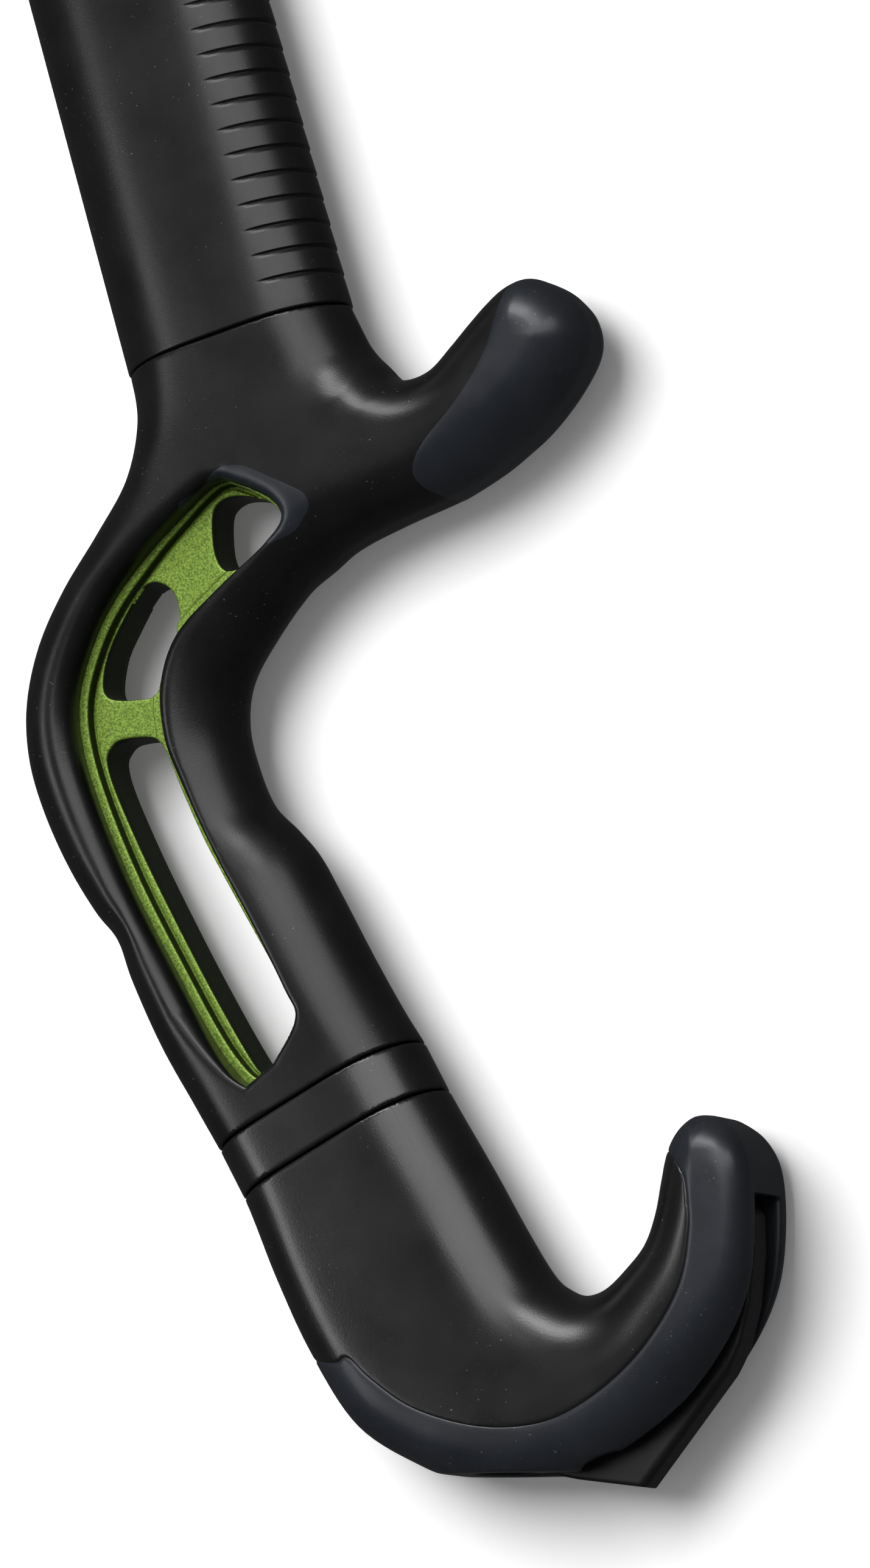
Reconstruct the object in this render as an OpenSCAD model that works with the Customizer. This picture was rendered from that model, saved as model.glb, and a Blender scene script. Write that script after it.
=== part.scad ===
// Ice climbing tool, lying on its side: +X is the finger side, +Y runs from spike to head, +Z is up.
// A bent alloy shaft carries a steel head with pick and hammer at one end. At the other end a green
// alloy frame is riveted in, with a moulded grip round it and a pommel that slides on its tenon.

/* [Shaft] */
// Width of the shaft tube in the swing plane
shaft_w = 30; // [27:0.5:31]
// Thickness of the shaft tube
shaft_t = 17.4; // [16:0.2:18.4]
// Wall of the shaft tube
shaft_wall = 1.6; // [1.2:0.1:2.2]
// Length of the straight run of tube above the shaft grip
bare_run = 8; // [2:1:60]
// Radius of the bend on the tube's centre line
bend_r = 250; // [180:5:400]
// Angle that the shaft turns through in the bend
bend_angle = 38; // [20:1:50]
// Length of the straight run below the head
shaft_top = 24; // [24:1:60]
// How far the tube reaches down inside the handle grip
tube_lap = 12; // [8:0.5:14]
// Lean of the straight run
shaft_tilt = 16; // [14:0.5:18]

/* [Shaft grip] */
// Rubber thickness of the shaft grip
sleeve_wall = 2.8; // [2.2:0.1:3.4]
// How much thicker the rubber is on the palm side
palm_swell = 1.6; // [0:0.1:2]
// Length of the shaft grip
sleeve_len = 96; // [60:1:150]
// Spacing of the finger ribs
rib_pitch = 4; // [3:0.25:6]
// Depth of the step at each finger rib
rib_depth = 0.8; // [0.3:0.1:1.2]
// Plain length below the first rib
rib_start = 3; // [2:0.5:12]

/* [Handle] */
// Thickness of the handle, the finger rest and the pommel
body_t = 23; // [21.5:0.5:26]
// Width of the handle where it meets the spacer
neck_w = 35; // [33:0.2:37]
// Lean of the handle's lower axis
handle_tilt = 28.5; // [27:0.5:30]
// Edge radius on the palm side
palm_r = 6.5; // [4:0.5:8]
// Edge radius of the finger rest and of the hook's tip
rest_r = 9; // [6:0.5:9.5]
// Flare of the grip's opening at the outer face
flare = 1.8; // [0.5:0.1:3]

/* [Frame] */
// Thickness of the frame's rim
rim_t = 14; // [12.5:0.5:15]
// Thickness of the frame's web
web_t = 9; // [7:0.5:11]
// Width of the rim that shows
rim_w = 1.5; // [1:0.1:2]
// How far the rim comes into the opening on the finger side
rim_finger = 0.6; // [0:0.1:1.2]
// Width of the groove inside the rim
groove_w = 0.9; // [0.5:0.1:1]
// Depth of the groove below the web
groove_d = 0.8; // [0.4:0.1:1.2]
// How far the frame reaches under the rubber
frame_lap = 2.5; // [1.5:0.1:3]
// How much further the frame reaches under the rubber on the finger side
finger_lap = 2.5; // [1:0.1:4]
// Length of the tang inside the shaft
tang_len = 42; // [36:1:60]
// Half width of the arm in the finger rest
arm_half = 4; // [3:0.25:5]
// Width of the tenon that guides the pommel
tenon_w = 16; // [14:0.5:18]
// Thickness of the tenon
tenon_t = 12.5; // [11.5:0.25:13]
// Length of the tenon inside the pommel
tenon_len = 32; // [30:1:35]
// Diameter of the rivets
rivet_d = 5; // [4:0.5:6]
// Thickness of the grey liner
liner_t = 1.3; // [0.8:0.1:2]

/* [Spacer and pommel] */
// Edge radius along the back of the hook
back_r = 3.5; // [3:0.25:6]
// Width of the slot along the back of the hook
slot_t = 10.8; // [8:0.2:12]
// Height of the spacer
spacer_t = 8.5; // [5:0.5:12]
// Wall of the pommel core beside the tenon
core_wall = 3.6; // [3:0.1:3.8]
// Wall of the pommel core over the tenon's flat faces
core_face = 1.6; // [1:0.1:1.8]
// Height of the core's floor below the tenon
core_floor = 9; // [7:0.5:10]

/* [Spike] */
// Thickness of the spike blade
spike_t = 6; // [4:0.5:7]
// Diameter of the spike's boss
boss_d = 15; // [14:0.25:15.5]
// Height of the boss floor under the bolt head
boss_floor = 4; // [3:0.5:5]
// Width of the ground bevel on the spike
bevel_w = 1; // [0.5:0.25:3]

/* [Pommel bolt] */
// Shank diameter of the pommel bolt
bolt_d = 6; // [5:0.5:6.5]
// Length of the bolt's shank
bolt_len = 45; // [40:1:46]
// Diameter of the bolt's head
bolt_head_d = 10; // [9:0.25:10.5]
// Height of the bolt's head
bolt_head_h = 5.5; // [4:0.25:6]
// Key size of the bolt's socket
key_af = 5; // [4:0.5:6]
// Diameter of the washer
washer_d = 11.6; // [11:0.1:12]
// Thickness of the washer
washer_t = 1.2; // [0.8:0.1:1.6]
// Outer diameter of the thread insert
insert_d = 8.6; // [8:0.1:9]
// Length of the thread insert
insert_len = 14; // [10:1:18]

/* [Head] */
// Length of the head's plug inside the shaft
plug_len = 22; // [18:1:23]
// Thickness of the pick
pick_t = 4; // [3:0.25:6]
// Depth of the pick's teeth
tooth_d = 2.4; // [1.5:0.1:3.5]
// Number of teeth
teeth = 13; // [8:1:16]
// Diameter of the pick bolts
pick_bolt_d = 8; // [6:0.5:9]
// Head diameter of the pick bolts
pick_head_d = 13; // [12:0.5:14]
// Diameter of the clip hole in the head
clip_d = 10; // [9:0.5:11]
// Diameter of the hammer's face
hammer_d = 20; // [18:0.5:22]
// Length of the hammer's round part
hammer_len = 18; // [14:1:26]
// Diameter of the hammer bolt
hammer_bolt_d = 5; // [4:0.5:6]

/* [Clearances] */
// Gap between fixed pieces that nest
fit = 0.15; // [0.1:0.01:0.2]
// Gap between pieces that slide or turn
run = 0.3; // [0.2:0.05:0.4]
// Radial gap between the bolt and the thread insert
thread_gap = 0.08; // [0.04:0.01:0.1]
// Gap beside the spike in its slot
slot_gap = 0.5; // [0.3:0.1:0.7]

/* [Hidden] */

$fn = 48;
curve_steps = 2;
bend_steps = 16;
arc_steps = 4;
far = 200;
// Overshoot of a cut
over = 1;

// Middle of the line where the shaft grip meets the handle, and the shaft's two directions there
grip_top = [-31.4, 69.8];
up_shaft = [-sin(shaft_tilt), cos(shaft_tilt)];
across_shaft = [cos(shaft_tilt), sin(shaft_tilt)];
// Middle of the line where the handle meets the spacer, and the handle's two directions there
grip_end = [-17.8, -47.5];
down_handle = [sin(handle_tilt), -cos(handle_tilt)];
across_handle = [cos(handle_tilt), sin(handle_tilt)];
// Middle of the pommel's upper face
pommel_top = grip_end + spacer_t * down_handle;

sleeve_w = shaft_w + 2 * sleeve_wall;
tang_w = shaft_w - 2 * shaft_wall - 2 * fit;
sleeve_t = shaft_t + 2 * sleeve_wall;
body_half = body_t / 2;
// Half of the flat that is left between two large edge radii, on the grips and on the tube
edge_flat = 0.7;
tube_flat = 0.4;
finger_r = body_half - edge_flat;
// Edge radius on the palm side of the shaft grip and where the handle meets it
top_r = body_half - edge_flat;
// Half thicknesses and edge radii of the last rows towards the tips of finger rest and hook
tip_half = [for (drop = [0.5, 1.5, 4, 7]) body_half - drop];
tip_r = [8, 5, 2];

// The bend turns about a centre on the finger side; the head's own frame starts at shaft_end
top_tilt = shaft_tilt - bend_angle;
up_head = [-sin(top_tilt), cos(top_tilt)];
across_head = [cos(top_tilt), sin(top_tilt)];
bend_start = grip_top + (sleeve_len + bare_run) * up_shaft;
bend_centre = bend_start + bend_r * across_shaft;
bend_end = bend_centre - bend_r * across_head;
shaft_end = bend_end + shaft_top * up_head;

// How far the hub plate reaches below the handle's top, and the tang's root below the tube's end
hub_depth = 26;
tang_root = 4;
// How far the tenon's root reaches up into the frame's plate
tenon_root = 6;
// Free room past the tenon's end and past the bolt's end
tenon_gap = 1.5;
bolt_gap = 2;
// Rivets: heights above the handle's top, and places below the head
frame_rivet_heights = [8, 22];
head_rivet_drop = 10;
head_rivet_step = 7;
// Plain length above the last rib, and length of the step at each rib
rib_end = 2;
rib_edge = 0.5;
// Share of the opening's flare on the finger side, and radius of its corners
finger_flare = 0.2;
flare_r = 1;

// Heights along the pommel's axis, measured from pommel_top
socket_end = tenon_len + tenon_gap;
boss_top = socket_end + core_floor;
seat = boss_top + boss_floor;
washer_seat = seat + fit / 2;
head_seat = washer_seat + washer_t + run / 2;
core_w = tenon_w + 2 * run + 2 * core_wall;
core_t = max(tenon_t + 2 * run, boss_d + 2 * fit) + 2 * core_face;
// Flat facet under the pommel, round the bolt's way in: its level and extent from pommel_top
facet_drop = 50.8;
facet_place = [26.5, -50];
facet_size = [26, 20];

// The bolt heads on the head reach the same level as the grip, so that the tool lies level
pick_head_h = body_half - shaft_t / 2;
thickest = max(body_half, sleeve_t / 2);
rest_z = max(thickest, hammer_d / 2);

// Each row of a loft: palm point, finger point, half thickness, palm edge radius, finger edge radius
function edge_row(middle, across, palm_w, finger_w, r) = [
    middle.x - across.x * palm_w, middle.y - across.y * palm_w,
    middle.x + across.x * finger_w, middle.y + across.y * finger_w,
    body_half, r, finger_r];
handle_rows = [
    edge_row(grip_top, across_shaft, sleeve_w / 2 + palm_swell, sleeve_w / 2, top_r),
    [-47.7, 57.3, -10.5, 66.5, body_half, (palm_r + top_r) / 2, finger_r],
    [-48.7, 48.5, -8.0, 55.5, body_half, palm_r, finger_r],
    [-53.5, 40.5, -9.5, 43.5, body_half, palm_r, finger_r],
    [-59.0, 32.0, -16.5, 31.5, body_half, palm_r, finger_r],
    [-63.0, 23.0, -25.5, 24.0, body_half, palm_r, finger_r],
    [-65.0, 14.0, -30.5, 17.0, body_half, palm_r, finger_r],
    [-64.5, 5.5, -31.3, 10.5, body_half, palm_r, finger_r],
    [-62.0, -3.0, -29.7, 4.0, body_half, palm_r, finger_r],
    [-58.5, -11.5, -27.0, -2.0, body_half, palm_r, finger_r],
    [-54.0, -18.5, -23.0, -6.0, body_half, palm_r, finger_r],
    [-50.3, -23.0, -19.5, -10.0, body_half, palm_r, finger_r],
    [-47.8, -29.5, -16.0, -16.0, body_half, palm_r, finger_r],
    [-43.0, -39.5, -10.5, -26.0, body_half, palm_r, finger_r],
    [-37.5, -48.7, -5.8, -34.0, body_half, palm_r, finger_r],
    edge_row(grip_end, across_handle, neck_w / 2, neck_w / 2, palm_r)];

// Finger rest, from inside the handle to its tip: under side first, then the valley side
rest_rows = [
    [-16.0, 36.0, -16.0, 66.0, body_half, rest_r, rest_r],
    [-9.0, 37.2, -9.5, 65.1, body_half, rest_r, rest_r],
    [0.5, 42.4, -6.0, 62.7, body_half, rest_r, rest_r],
    [6.0, 44.9, -3.0, 62.2, body_half, rest_r, rest_r],
    [10.7, 47.6, 0.7, 63.6, body_half, rest_r, rest_r],
    [14.4, 50.3, 3.9, 66.8, body_half, rest_r, rest_r],
    [17.8, 53.1, 7.0, 70.2, body_half, rest_r, rest_r],
    [21.2, 56.8, 9.8, 73.1, body_half, rest_r, rest_r],
    [24.0, 60.7, 12.4, 75.3, body_half, rest_r, rest_r],
    [25.9, 64.3, 15.0, 76.6, tip_half[1], tip_r[0], tip_r[0]],
    [26.3, 67.5, 17.6, 76.5, tip_half[2], tip_r[1], tip_r[1]],
    [25.4, 70.6, 21.2, 74.8, tip_half[3], tip_r[2], tip_r[2]]];

// Pommel hook, measured from pommel_top: outer side first, then the inner side of the hook
hook_rows = [
    [-10.0, -20.9, 22.8, -3.9, body_half, palm_r, finger_r],
    [-4.2, -32.5, 28.3, -13.4, body_half, palm_r, finger_r],
    [3.4, -43.4, 32.8, -20.4, body_half, palm_r, finger_r],
    [16.2, -50.6, 35.8, -22.9, body_half, palm_r, finger_r],
    [31.8, -51.6, 38.8, -23.9, body_half, (palm_r + back_r) / 2, finger_r],
    [46.0, -48.4, 42.3, -22.9, body_half, back_r, finger_r],
    [57.0, -41.9, 46.0, -20.0, body_half, back_r, finger_r],
    [63.8, -32.4, 49.2, -16.5, body_half, back_r, rest_r],
    [66.8, -23.5, 51.0, -12.0, body_half, back_r, rest_r],
    [67.8, -14.5, 52.0, -7.0, body_half, back_r, rest_r],
    [67.3, -5.5, 52.9, -3.0, tip_half[0], back_r, tip_r[0]],
    [65.3, -0.7, 54.6, 0.3, tip_half[1], back_r, tip_r[1]],
    [62.0, 1.8, 57.2, 2.5, tip_half[3], tip_r[2], tip_r[2]]];

// Opening of the grip, palm side first, from its top to its bottom
opening_rows = [
    [-32.5, 46.6, -27.0, 46.6],
    [-37.0, 43.5, -22.5, 44.0],
    [-41.5, 39.5, -21.0, 41.0],
    [-46.0, 34.5, -25.0, 36.5],
    [-50.5, 28.5, -32.0, 30.2],
    [-54.0, 22.0, -38.5, 23.5],
    [-56.0, 13.5, -41.0, 16.0],
    [-55.2, 5.0, -40.5, 8.5],
    [-53.2, -3.0, -38.0, 2.0],
    [-47.8, -14.6, -33.0, -8.5],
    [-40.3, -28.0, -26.2, -20.7],
    [-33.8, -38.5, -20.5, -31.5],
    [-29.7, -44.3, -18.6, -36.3],
    [-26.8, -46.4, -22.2, -42.9]];

// Windows through the frame's web
window_points = [
    [[-35.1, 42.0], [-34.8, 37.0], [-33.4, 34.1], [-31.0, 33.6], [-27.5, 35.0], [-23.8, 37.4],
     [-22.4, 40.0], [-22.6, 42.4], [-24.6, 44.4], [-28.5, 45.4], [-32.0, 45.4], [-34.3, 44.2]],
    [[-53.5, 17.0], [-52.6, 15.0], [-50.0, 14.4], [-46.5, 14.5], [-43.6, 14.9], [-42.7, 16.2],
     [-41.9, 19.0], [-41.0, 21.3], [-40.2, 23.6], [-40.4, 27.5], [-41.4, 30.4], [-43.2, 32.1],
     [-45.5, 32.4], [-47.5, 31.0], [-50.8, 25.8], [-52.9, 21.5]],
    [[-52.6, 5.0], [-52.0, 7.0], [-50.5, 8.2], [-47.0, 8.6], [-44.0, 8.2], [-42.2, 7.0],
     [-40.6, 3.5], [-38.8, -0.3], [-35.4, -7.4], [-32.5, -12.3], [-28.7, -19.2], [-24.6, -26.3],
     [-20.8, -32.8], [-19.4, -36.0], [-20.3, -38.5], [-23.8, -43.0], [-26.0, -44.0],
     [-27.3, -43.4], [-31.0, -37.8], [-36.6, -28.2], [-41.8, -18.7], [-46.8, -9.1], [-50.7, 0.4]]];

// Outline of the grey liner at the top of the opening; the opening itself is cut out of it
liner_points = [[-38.5, 42.5], [-35.0, 47.0], [-30.5, 49.2], [-25.0, 47.8], [-19.5, 44.8],
                [-18.1, 42.5], [-20.5, 39.8], [-28.0, 38.5]];

// Border of the grey cap on the finger rest, closed far outside the rest
cap_points = [[15.0, 80.0], [13.7, 70.0], [12.2, 64.4], [7.9, 57.6], [2.5, 51.5], [0.2, 47.5],
              [1.0, 44.8], [4.5, 43.0], [9.5, 41.0]];
cap_close = [[40.0, 41.0], [40.0, 80.0]];

// Middle line of the frame's arm inside the finger rest
arm_points = [[-24.0, 50.0], [-8.0, 51.5], [1.5, 54.0], [8.5, 58.5], [13.5, 63.5], [17.0, 68.0]];

// Border of the grey shell on the pommel, measured from pommel_top, closed far outside the hook
shell_points = [[-20.0, -30.0], [-0.2, -34.0], [3.6, -33.4], [7.1, -36.4], [13.5, -40.8],
                [21.2, -43.5], [28.8, -44.5], [36.5, -43.6], [43.5, -40.2], [50.0, -35.0],
                [55.1, -28.7], [58.3, -22.3], [59.5, -15.1], [59.4, -8.5], [58.4, -3.0],
                [58.6, 8.0]];
shell_close = [[90.0, 8.0], [90.0, -80.0], [-20.0, -80.0]];

// Spike blade, measured from pommel_top: working edge and back, edge inside the shell, lower edge
spike_tip = [48.9, -53.2];
spike_shoulder = [62.2, -36.4];
spike_outer = [spike_tip, spike_shoulder, [64.3, -31.8], [65.8, -26.0], [66.6, -18.0], [66.4, -12.5]];
spike_inner = [[65.0, -10.3], [62.5, -10.5], [61.5, -18.0], [58.8, -26.0], [53.5, -34.0],
               [45.5, -40.5], [35.0, -45.5], [22.0, -46.5]];
spike_lower = [[24.0, -49.0], [38.0, -51.8]];
// Slot of the shell, measured from pommel_top: inner edge as on the spike, open to the outside
slot_outside = [[80.0, -9.0], [80.0, -70.0], [30.0, -70.0]];
// Wide part of the slot along the hook's back: its floor, open to the outside
back_slot_points = [[63.6, -9.4], [63.3, -18.0], [61.3, -26.0], [57.6, -33.0], [51.8, -38.6],
                    [46.0, -42.3], [41.0, -44.6], [39.3, -47.0]];
wide_outside = [[80.0, -9.4], [80.0, -70.0], [39.3, -70.0]];

// Head outlines in the head's own frame: x towards the pick's tip, y up along the shaft
head_points = [[-15.0, -4.0], [15.0, -4.0], [17.5, 6.0], [26.0, 11.0], [33.0, 17.0], [34.0, 25.0],
               [27.0, 30.5], [10.0, 33.0], [-12.0, 33.0], [-25.0, 30.5], [-31.0, 24.0],
               [-28.0, 15.0], [-17.5, 6.0]];
pick_bolt_places = [[4.0, 21.5], [24.0, 21.5]];
clip_place = [-18.0, 21.5];
pick_back = [[-46.0, 16.0], [-46.0, 27.5]];
pick_upper = [[-34.0, 28.5], [10.0, 29.5], [36.0, 29.0], [62.0, 26.5], [90.0, 20.5], [116.0, 11.0],
              [138.0, 0.0], [153.0, -11.0]];
pick_lower = [[149.0, -11.0], [128.0, -1.5], [106.0, 5.5], [80.0, 10.5], [56.0, 13.0], [38.0, 14.0]];
pick_heel = [30.0, 12.5];
// Share of each tooth that its steep side takes
tooth_rise = 0.3;
slot_floor = 11;
hammer_place = 21.5;
hammer_front = -35;
hammer_neck = 14;
hammer_bolt_x = -40.5;
hammer_head_h = 2.5;
hammer_head_d = 1.8 * hammer_bolt_d;

// Middle of the whole tool, which lies over the origin: from spike to hammer, and from hammer to pick
function head_point(p) = shaft_end + p.x * across_head + p.y * up_head;
hammer_end = hammer_front - hammer_neck - hammer_len;
hammer_low = head_point([hammer_end, hammer_place - hammer_d / 2]);
hammer_high = head_point([hammer_end, hammer_place + hammer_d / 2]);
pick_end = head_point(pick_upper[len(pick_upper) - 1]);
centre = [(hammer_low.x + pick_end.x) / 2, (pommel_top.y + spike_tip.y + hammer_high.y) / 2];

// Curve through a list of points or loft rows
function row_at(rows, i) = rows[max(0, min(len(rows) - 1, i))];
function on_curve(p, q, r, s, t) =
    0.5 * (2 * q + (r - p) * t + (2 * p - 5 * q + 4 * r - s) * t * t + (3 * q - p - 3 * r + s) * t * t * t);
function smooth(rows, steps) = [
    for (i = [0 : len(rows) - 2], k = [0 : steps - 1])
        on_curve(row_at(rows, i - 1), rows[i], rows[i + 1], row_at(rows, i + 2), k / steps),
    rows[len(rows) - 1]];
function closed_curve(points, steps) = [
    for (i = [0 : len(points) - 1], k = [0 : steps - 1])
        let (n = len(points))
        on_curve(points[(i + n - 1) % n], points[i], points[(i + 1) % n], points[(i + 2) % n], k / steps)];
function reversed(list) = [for (i = [len(list) - 1 : -1 : 0]) list[i]];
function from_pommel(points) = [for (p = points) pommel_top + p];

// Rounded section of width w and half thickness b, with edge radii p on the palm and f on the fingers
function corner(x, y, r, start) = [
    for (k = [0 : arc_steps]) let (g = start + 90 * k / arc_steps) [x + r * cos(g), y + r * sin(g)]];
function section(w, b, p, f) = concat(
    corner(p, p - b, p, 180), corner(w - f, f - b, f, 270),
    corner(w - f, b - f, f, 0), corner(p, b - p, p, 90));
function ring(row) =
    let (w = norm([row[2] - row[0], row[3] - row[1]]),
         dx = (row[2] - row[0]) / w,
         dy = (row[3] - row[1]) / w,
         b = min(row[4], thickest))
    [for (q = section(w, b, row[5], row[6])) [row[0] + dx * q.x, row[1] + dy * q.x, q.y]];

// Skin between neighbouring rows; each stretch is the hull of two sections
module loft(rows) {
    n = 4 * (arc_steps + 1);
    for (i = [0 : len(rows) - 2])
        hull()
            polyhedron(
                points = concat(ring(rows[i]), ring(rows[i + 1])),
                faces = concat(
                    [[for (j = [0 : n - 1]) j], [for (j = [n - 1 : -1 : 0]) n + j]],
                    [for (j = [0 : n - 1]) [j, n + j, n + (j + 1) % n, (j + 1) % n]]));
}

// Skin over all rows as one closed surface of triangles
module skin(rows) {
    n = 4 * (arc_steps + 1);
    last = len(rows) - 1;
    polyhedron(
        points = [for (r = rows) each ring(r)],
        faces = concat(
            [[for (j = [0 : n - 1]) j], [for (j = [n - 1 : -1 : 0]) last * n + j]],
            [for (i = [0 : last - 1], j = [0 : n - 1])
                let (a = i * n + j, b = i * n + (j + 1) % n)
                each [[a, a + n, b + n], [a, b + n, b]]]));
}

module place() {
    translate([-centre.x, -centre.y, rest_z])
        children();
}

// Plate of thickness t that lies in the swing plane
module plate(t) {
    linear_extrude(height = t, center = true)
        children();
}

// Local frames: z up the shaft, z down the handle, and the head's own plane
module in_shaft(height) {
    translate(grip_top + height * up_shaft)
        rotate([0, 0, shaft_tilt])
            rotate([-90, 0, 0])
                children();
}

module in_handle(depth) {
    translate(grip_end + depth * down_handle)
        rotate([0, 0, handle_tilt])
            rotate([90, 0, 0])
                children();
}

module in_pommel(depth) {
    in_handle(spacer_t + depth)
        children();
}

module in_head() {
    translate(shaft_end)
        rotate([0, 0, top_tilt])
            children();
}

module oval(w, t) {
    r = t / 2 - tube_flat;
    translate([-w / 2, 0])
        polygon(section(w, t / 2, r, r));
}

module inner_oval() {
    oval(tang_w, shaft_t - 2 * shaft_wall - 2 * fit);
}

// Rods across the swing plane where the rivets pass; length l, diameter d
module frame_rivet_rods(d, l) {
    for (h = frame_rivet_heights)
        translate(grip_top + h * up_shaft)
            cylinder(h = l, d = d, center = true);
}

module head_rivet_rods(d, l) {
    in_head()
        for (side = [-1, 1])
            translate([side * head_rivet_step, -head_rivet_drop])
                cylinder(h = l, d = d, center = true);
}

// One oval row of the tube round a middle point, smaller by inset on all sides
function tube_row(middle, across, inset) =
    let (half_w = shaft_w / 2 - inset, half_t = shaft_t / 2 - inset, r = half_t - tube_flat)
    [middle.x - across.x * half_w, middle.y - across.y * half_w,
     middle.x + across.x * half_w, middle.y + across.y * half_w, half_t, r, r];

// Rows of the whole tube, longer by reach at both ends
function tube_rows(inset, reach) = concat(
    [tube_row(grip_top - (tube_lap + reach) * up_shaft, across_shaft, inset)],
    [for (k = [0 : bend_steps])
        let (g = shaft_tilt - bend_angle * k / bend_steps, across = [cos(g), sin(g)])
        tube_row(bend_centre - bend_r * across, across, inset)],
    [tube_row(shaft_end + reach * up_head, across_head, inset)]);

module shaft() {
    color("dimgray")
        place()
            difference() {
                loft(tube_rows(0, 0));
                loft(tube_rows(shaft_wall, over));
                frame_rivet_rods(rivet_d + 2 * fit, far);
                head_rivet_rods(rivet_d + 2 * fit, far);
            }
}

// One row of the sleeve at a height up the shaft, drawn in by dip on the finger side
function sleeve_row(height, dip) =
    let (m = grip_top + height * up_shaft,
         left = m - across_shaft * (sleeve_w / 2 + palm_swell),
         right = m + across_shaft * (sleeve_w / 2 - dip))
    [left.x, left.y, right.x, right.y, sleeve_t / 2, sleeve_t / 2 - edge_flat, sleeve_t / 2 - edge_flat];
rib_count = floor((sleeve_len - rib_start - rib_end) / rib_pitch);
// Walking down the sleeve: each rib swells to its lower edge and then steps in
sleeve_rows = concat(
    [sleeve_row(sleeve_len, rib_depth)],
    [for (i = [rib_count - 1 : -1 : 0])
        let (h = rib_start + i * rib_pitch)
        each [sleeve_row(h + rib_edge, 0), sleeve_row(h, rib_depth)]],
    [sleeve_row(rib_start - rib_edge, 0), sleeve_row(fit, 0)]);

module shaft_grip() {
    color("#2e2e30")
        place()
            difference() {
                loft(sleeve_rows);
                in_shaft(-over)
                    linear_extrude(height = sleeve_len + 2 * over)
                        oval(shaft_w + 2 * fit, shaft_t + 2 * fit);
            }
}

opening_curve = smooth(opening_rows, 2);
function finger_side(row, reach) =
    let (p = [row[0], row[1]], q = [row[2], row[3]])
    q + (q - p) / norm(q - p) * reach;

// Opening of the grip, with its finger side moved out by reach
module opening(reach = 0) {
    moved_side = [for (r = opening_curve) finger_side(r, reach)];
    polygon(concat([for (r = opening_curve) [r[0], r[1]]], reversed(moved_side)));
}

arm_curve = smooth(arm_points, 3);

// Arm of the frame in the finger rest, wider and longer by grow
module arm(grow) {
    last = len(arm_curve) - 1;
    way = [for (i = [0 : last]) arm_curve[min(i + 1, last)] - arm_curve[max(i - 1, 0)]];
    side = [for (d = way) [-d.y, d.x] / norm(d) * (arm_half + grow)];
    ahead = way[last] / norm(way[last]) * grow;
    polygon(concat(
        [for (i = [0 : last]) arm_curve[i] - side[i] + (i == last ? ahead : [0, 0])],
        [for (i = [last : -1 : 0]) arm_curve[i] + side[i] + (i == last ? ahead : [0, 0])]));
}

// Outline of the frame's rim plate
module rim_outline() {
    offset(delta = frame_lap)
        opening(finger_lap);
    translate(grip_top)
        rotate(shaft_tilt)
            translate([-tang_w / 2, -hub_depth])
                square([tang_w, hub_depth - tube_lap - fit]);
    translate(grip_end)
        rotate(handle_tilt)
            translate([-tenon_w / 2 + run, 0])
                square([tenon_w - 2 * run, tenon_root]);
}

module window_outlines() {
    for (w = window_points)
        polygon(closed_curve(w, 3));
}

// Panel inside the rim
module panel(inset) {
    offset(delta = -inset)
        opening(-rim_finger);
}

module handle_frame() {
    color("#6f9a30")
        place()
            difference() {
                union() {
                    plate(rim_t)
                        rim_outline();
                    plate(web_t)
                        arm(0);
                    in_shaft(-tube_lap - tang_root)
                        linear_extrude(height = tang_root + tang_len)
                            inner_oval();
                    in_handle(-over)
                        linear_extrude(height = over + spacer_t + tenon_len)
                            square([tenon_w, tenon_t], center = true);
                }
                for (side = [-1, 1]) {
                    translate([0, 0, side * (web_t / 2 + far / 2)])
                        plate(far)
                            panel(rim_w);
                    translate([0, 0, side * (web_t / 2 - groove_d + far / 2)])
                        plate(far)
                            difference() {
                                panel(rim_w);
                                panel(rim_w + groove_w);
                            }
                }
                plate(far)
                    window_outlines();
                frame_rivet_rods(rivet_d + 2 * fit, far);
                in_pommel(head_seat - bolt_len - bolt_gap)
                    cylinder(h = far, d = bolt_d + 2 * run);
                in_pommel(tenon_len - insert_len)
                    cylinder(h = far, d = insert_d + 2 * fit);
            }
}

module frame_rivets() {
    color("silver")
        place()
            frame_rivet_rods(rivet_d, shaft_t - 2 * fit);
}

module thread_insert() {
    color("gold")
        place()
            in_pommel(tenon_len - insert_len + fit)
                difference() {
                    cylinder(h = insert_len - fit, d = insert_d);
                    translate([0, 0, -over])
                        cylinder(h = insert_len + 2 * over, d = bolt_d + 2 * thread_gap);
                }
}

// Flared way through the rubber above or below the frame's rim; each stretch joins four round bars
module flared_opening(side) {
    low = side * rim_t / 2;
    high = side * (body_half + over);
    for (i = [0 : len(opening_curve) - 2])
        hull()
            for (row = [opening_curve[i], opening_curve[i + 1]]) {
                flare_bar(row, 0, low);
                flare_bar(row, flare, high);
            }
}

// Two rods at the palm end and the finger end of one row of the opening, which is longer by grow
module flare_bar(row, grow, height) {
    p = [row[0], row[1]];
    q = [row[2], row[3]];
    d = (q - p) / norm(q - p);
    for (end = [p + d * (flare_r - grow), q - d * (flare_r - grow * finger_flare)])
        translate([end.x, end.y, height])
            cylinder(r = flare_r, h = over, center = true, $fn = 12);
}

module liner_outline() {
    polygon(closed_curve(liner_points, 3));
}

module cap_region() {
    polygon(concat(smooth(cap_points, 2), cap_close));
}

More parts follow.
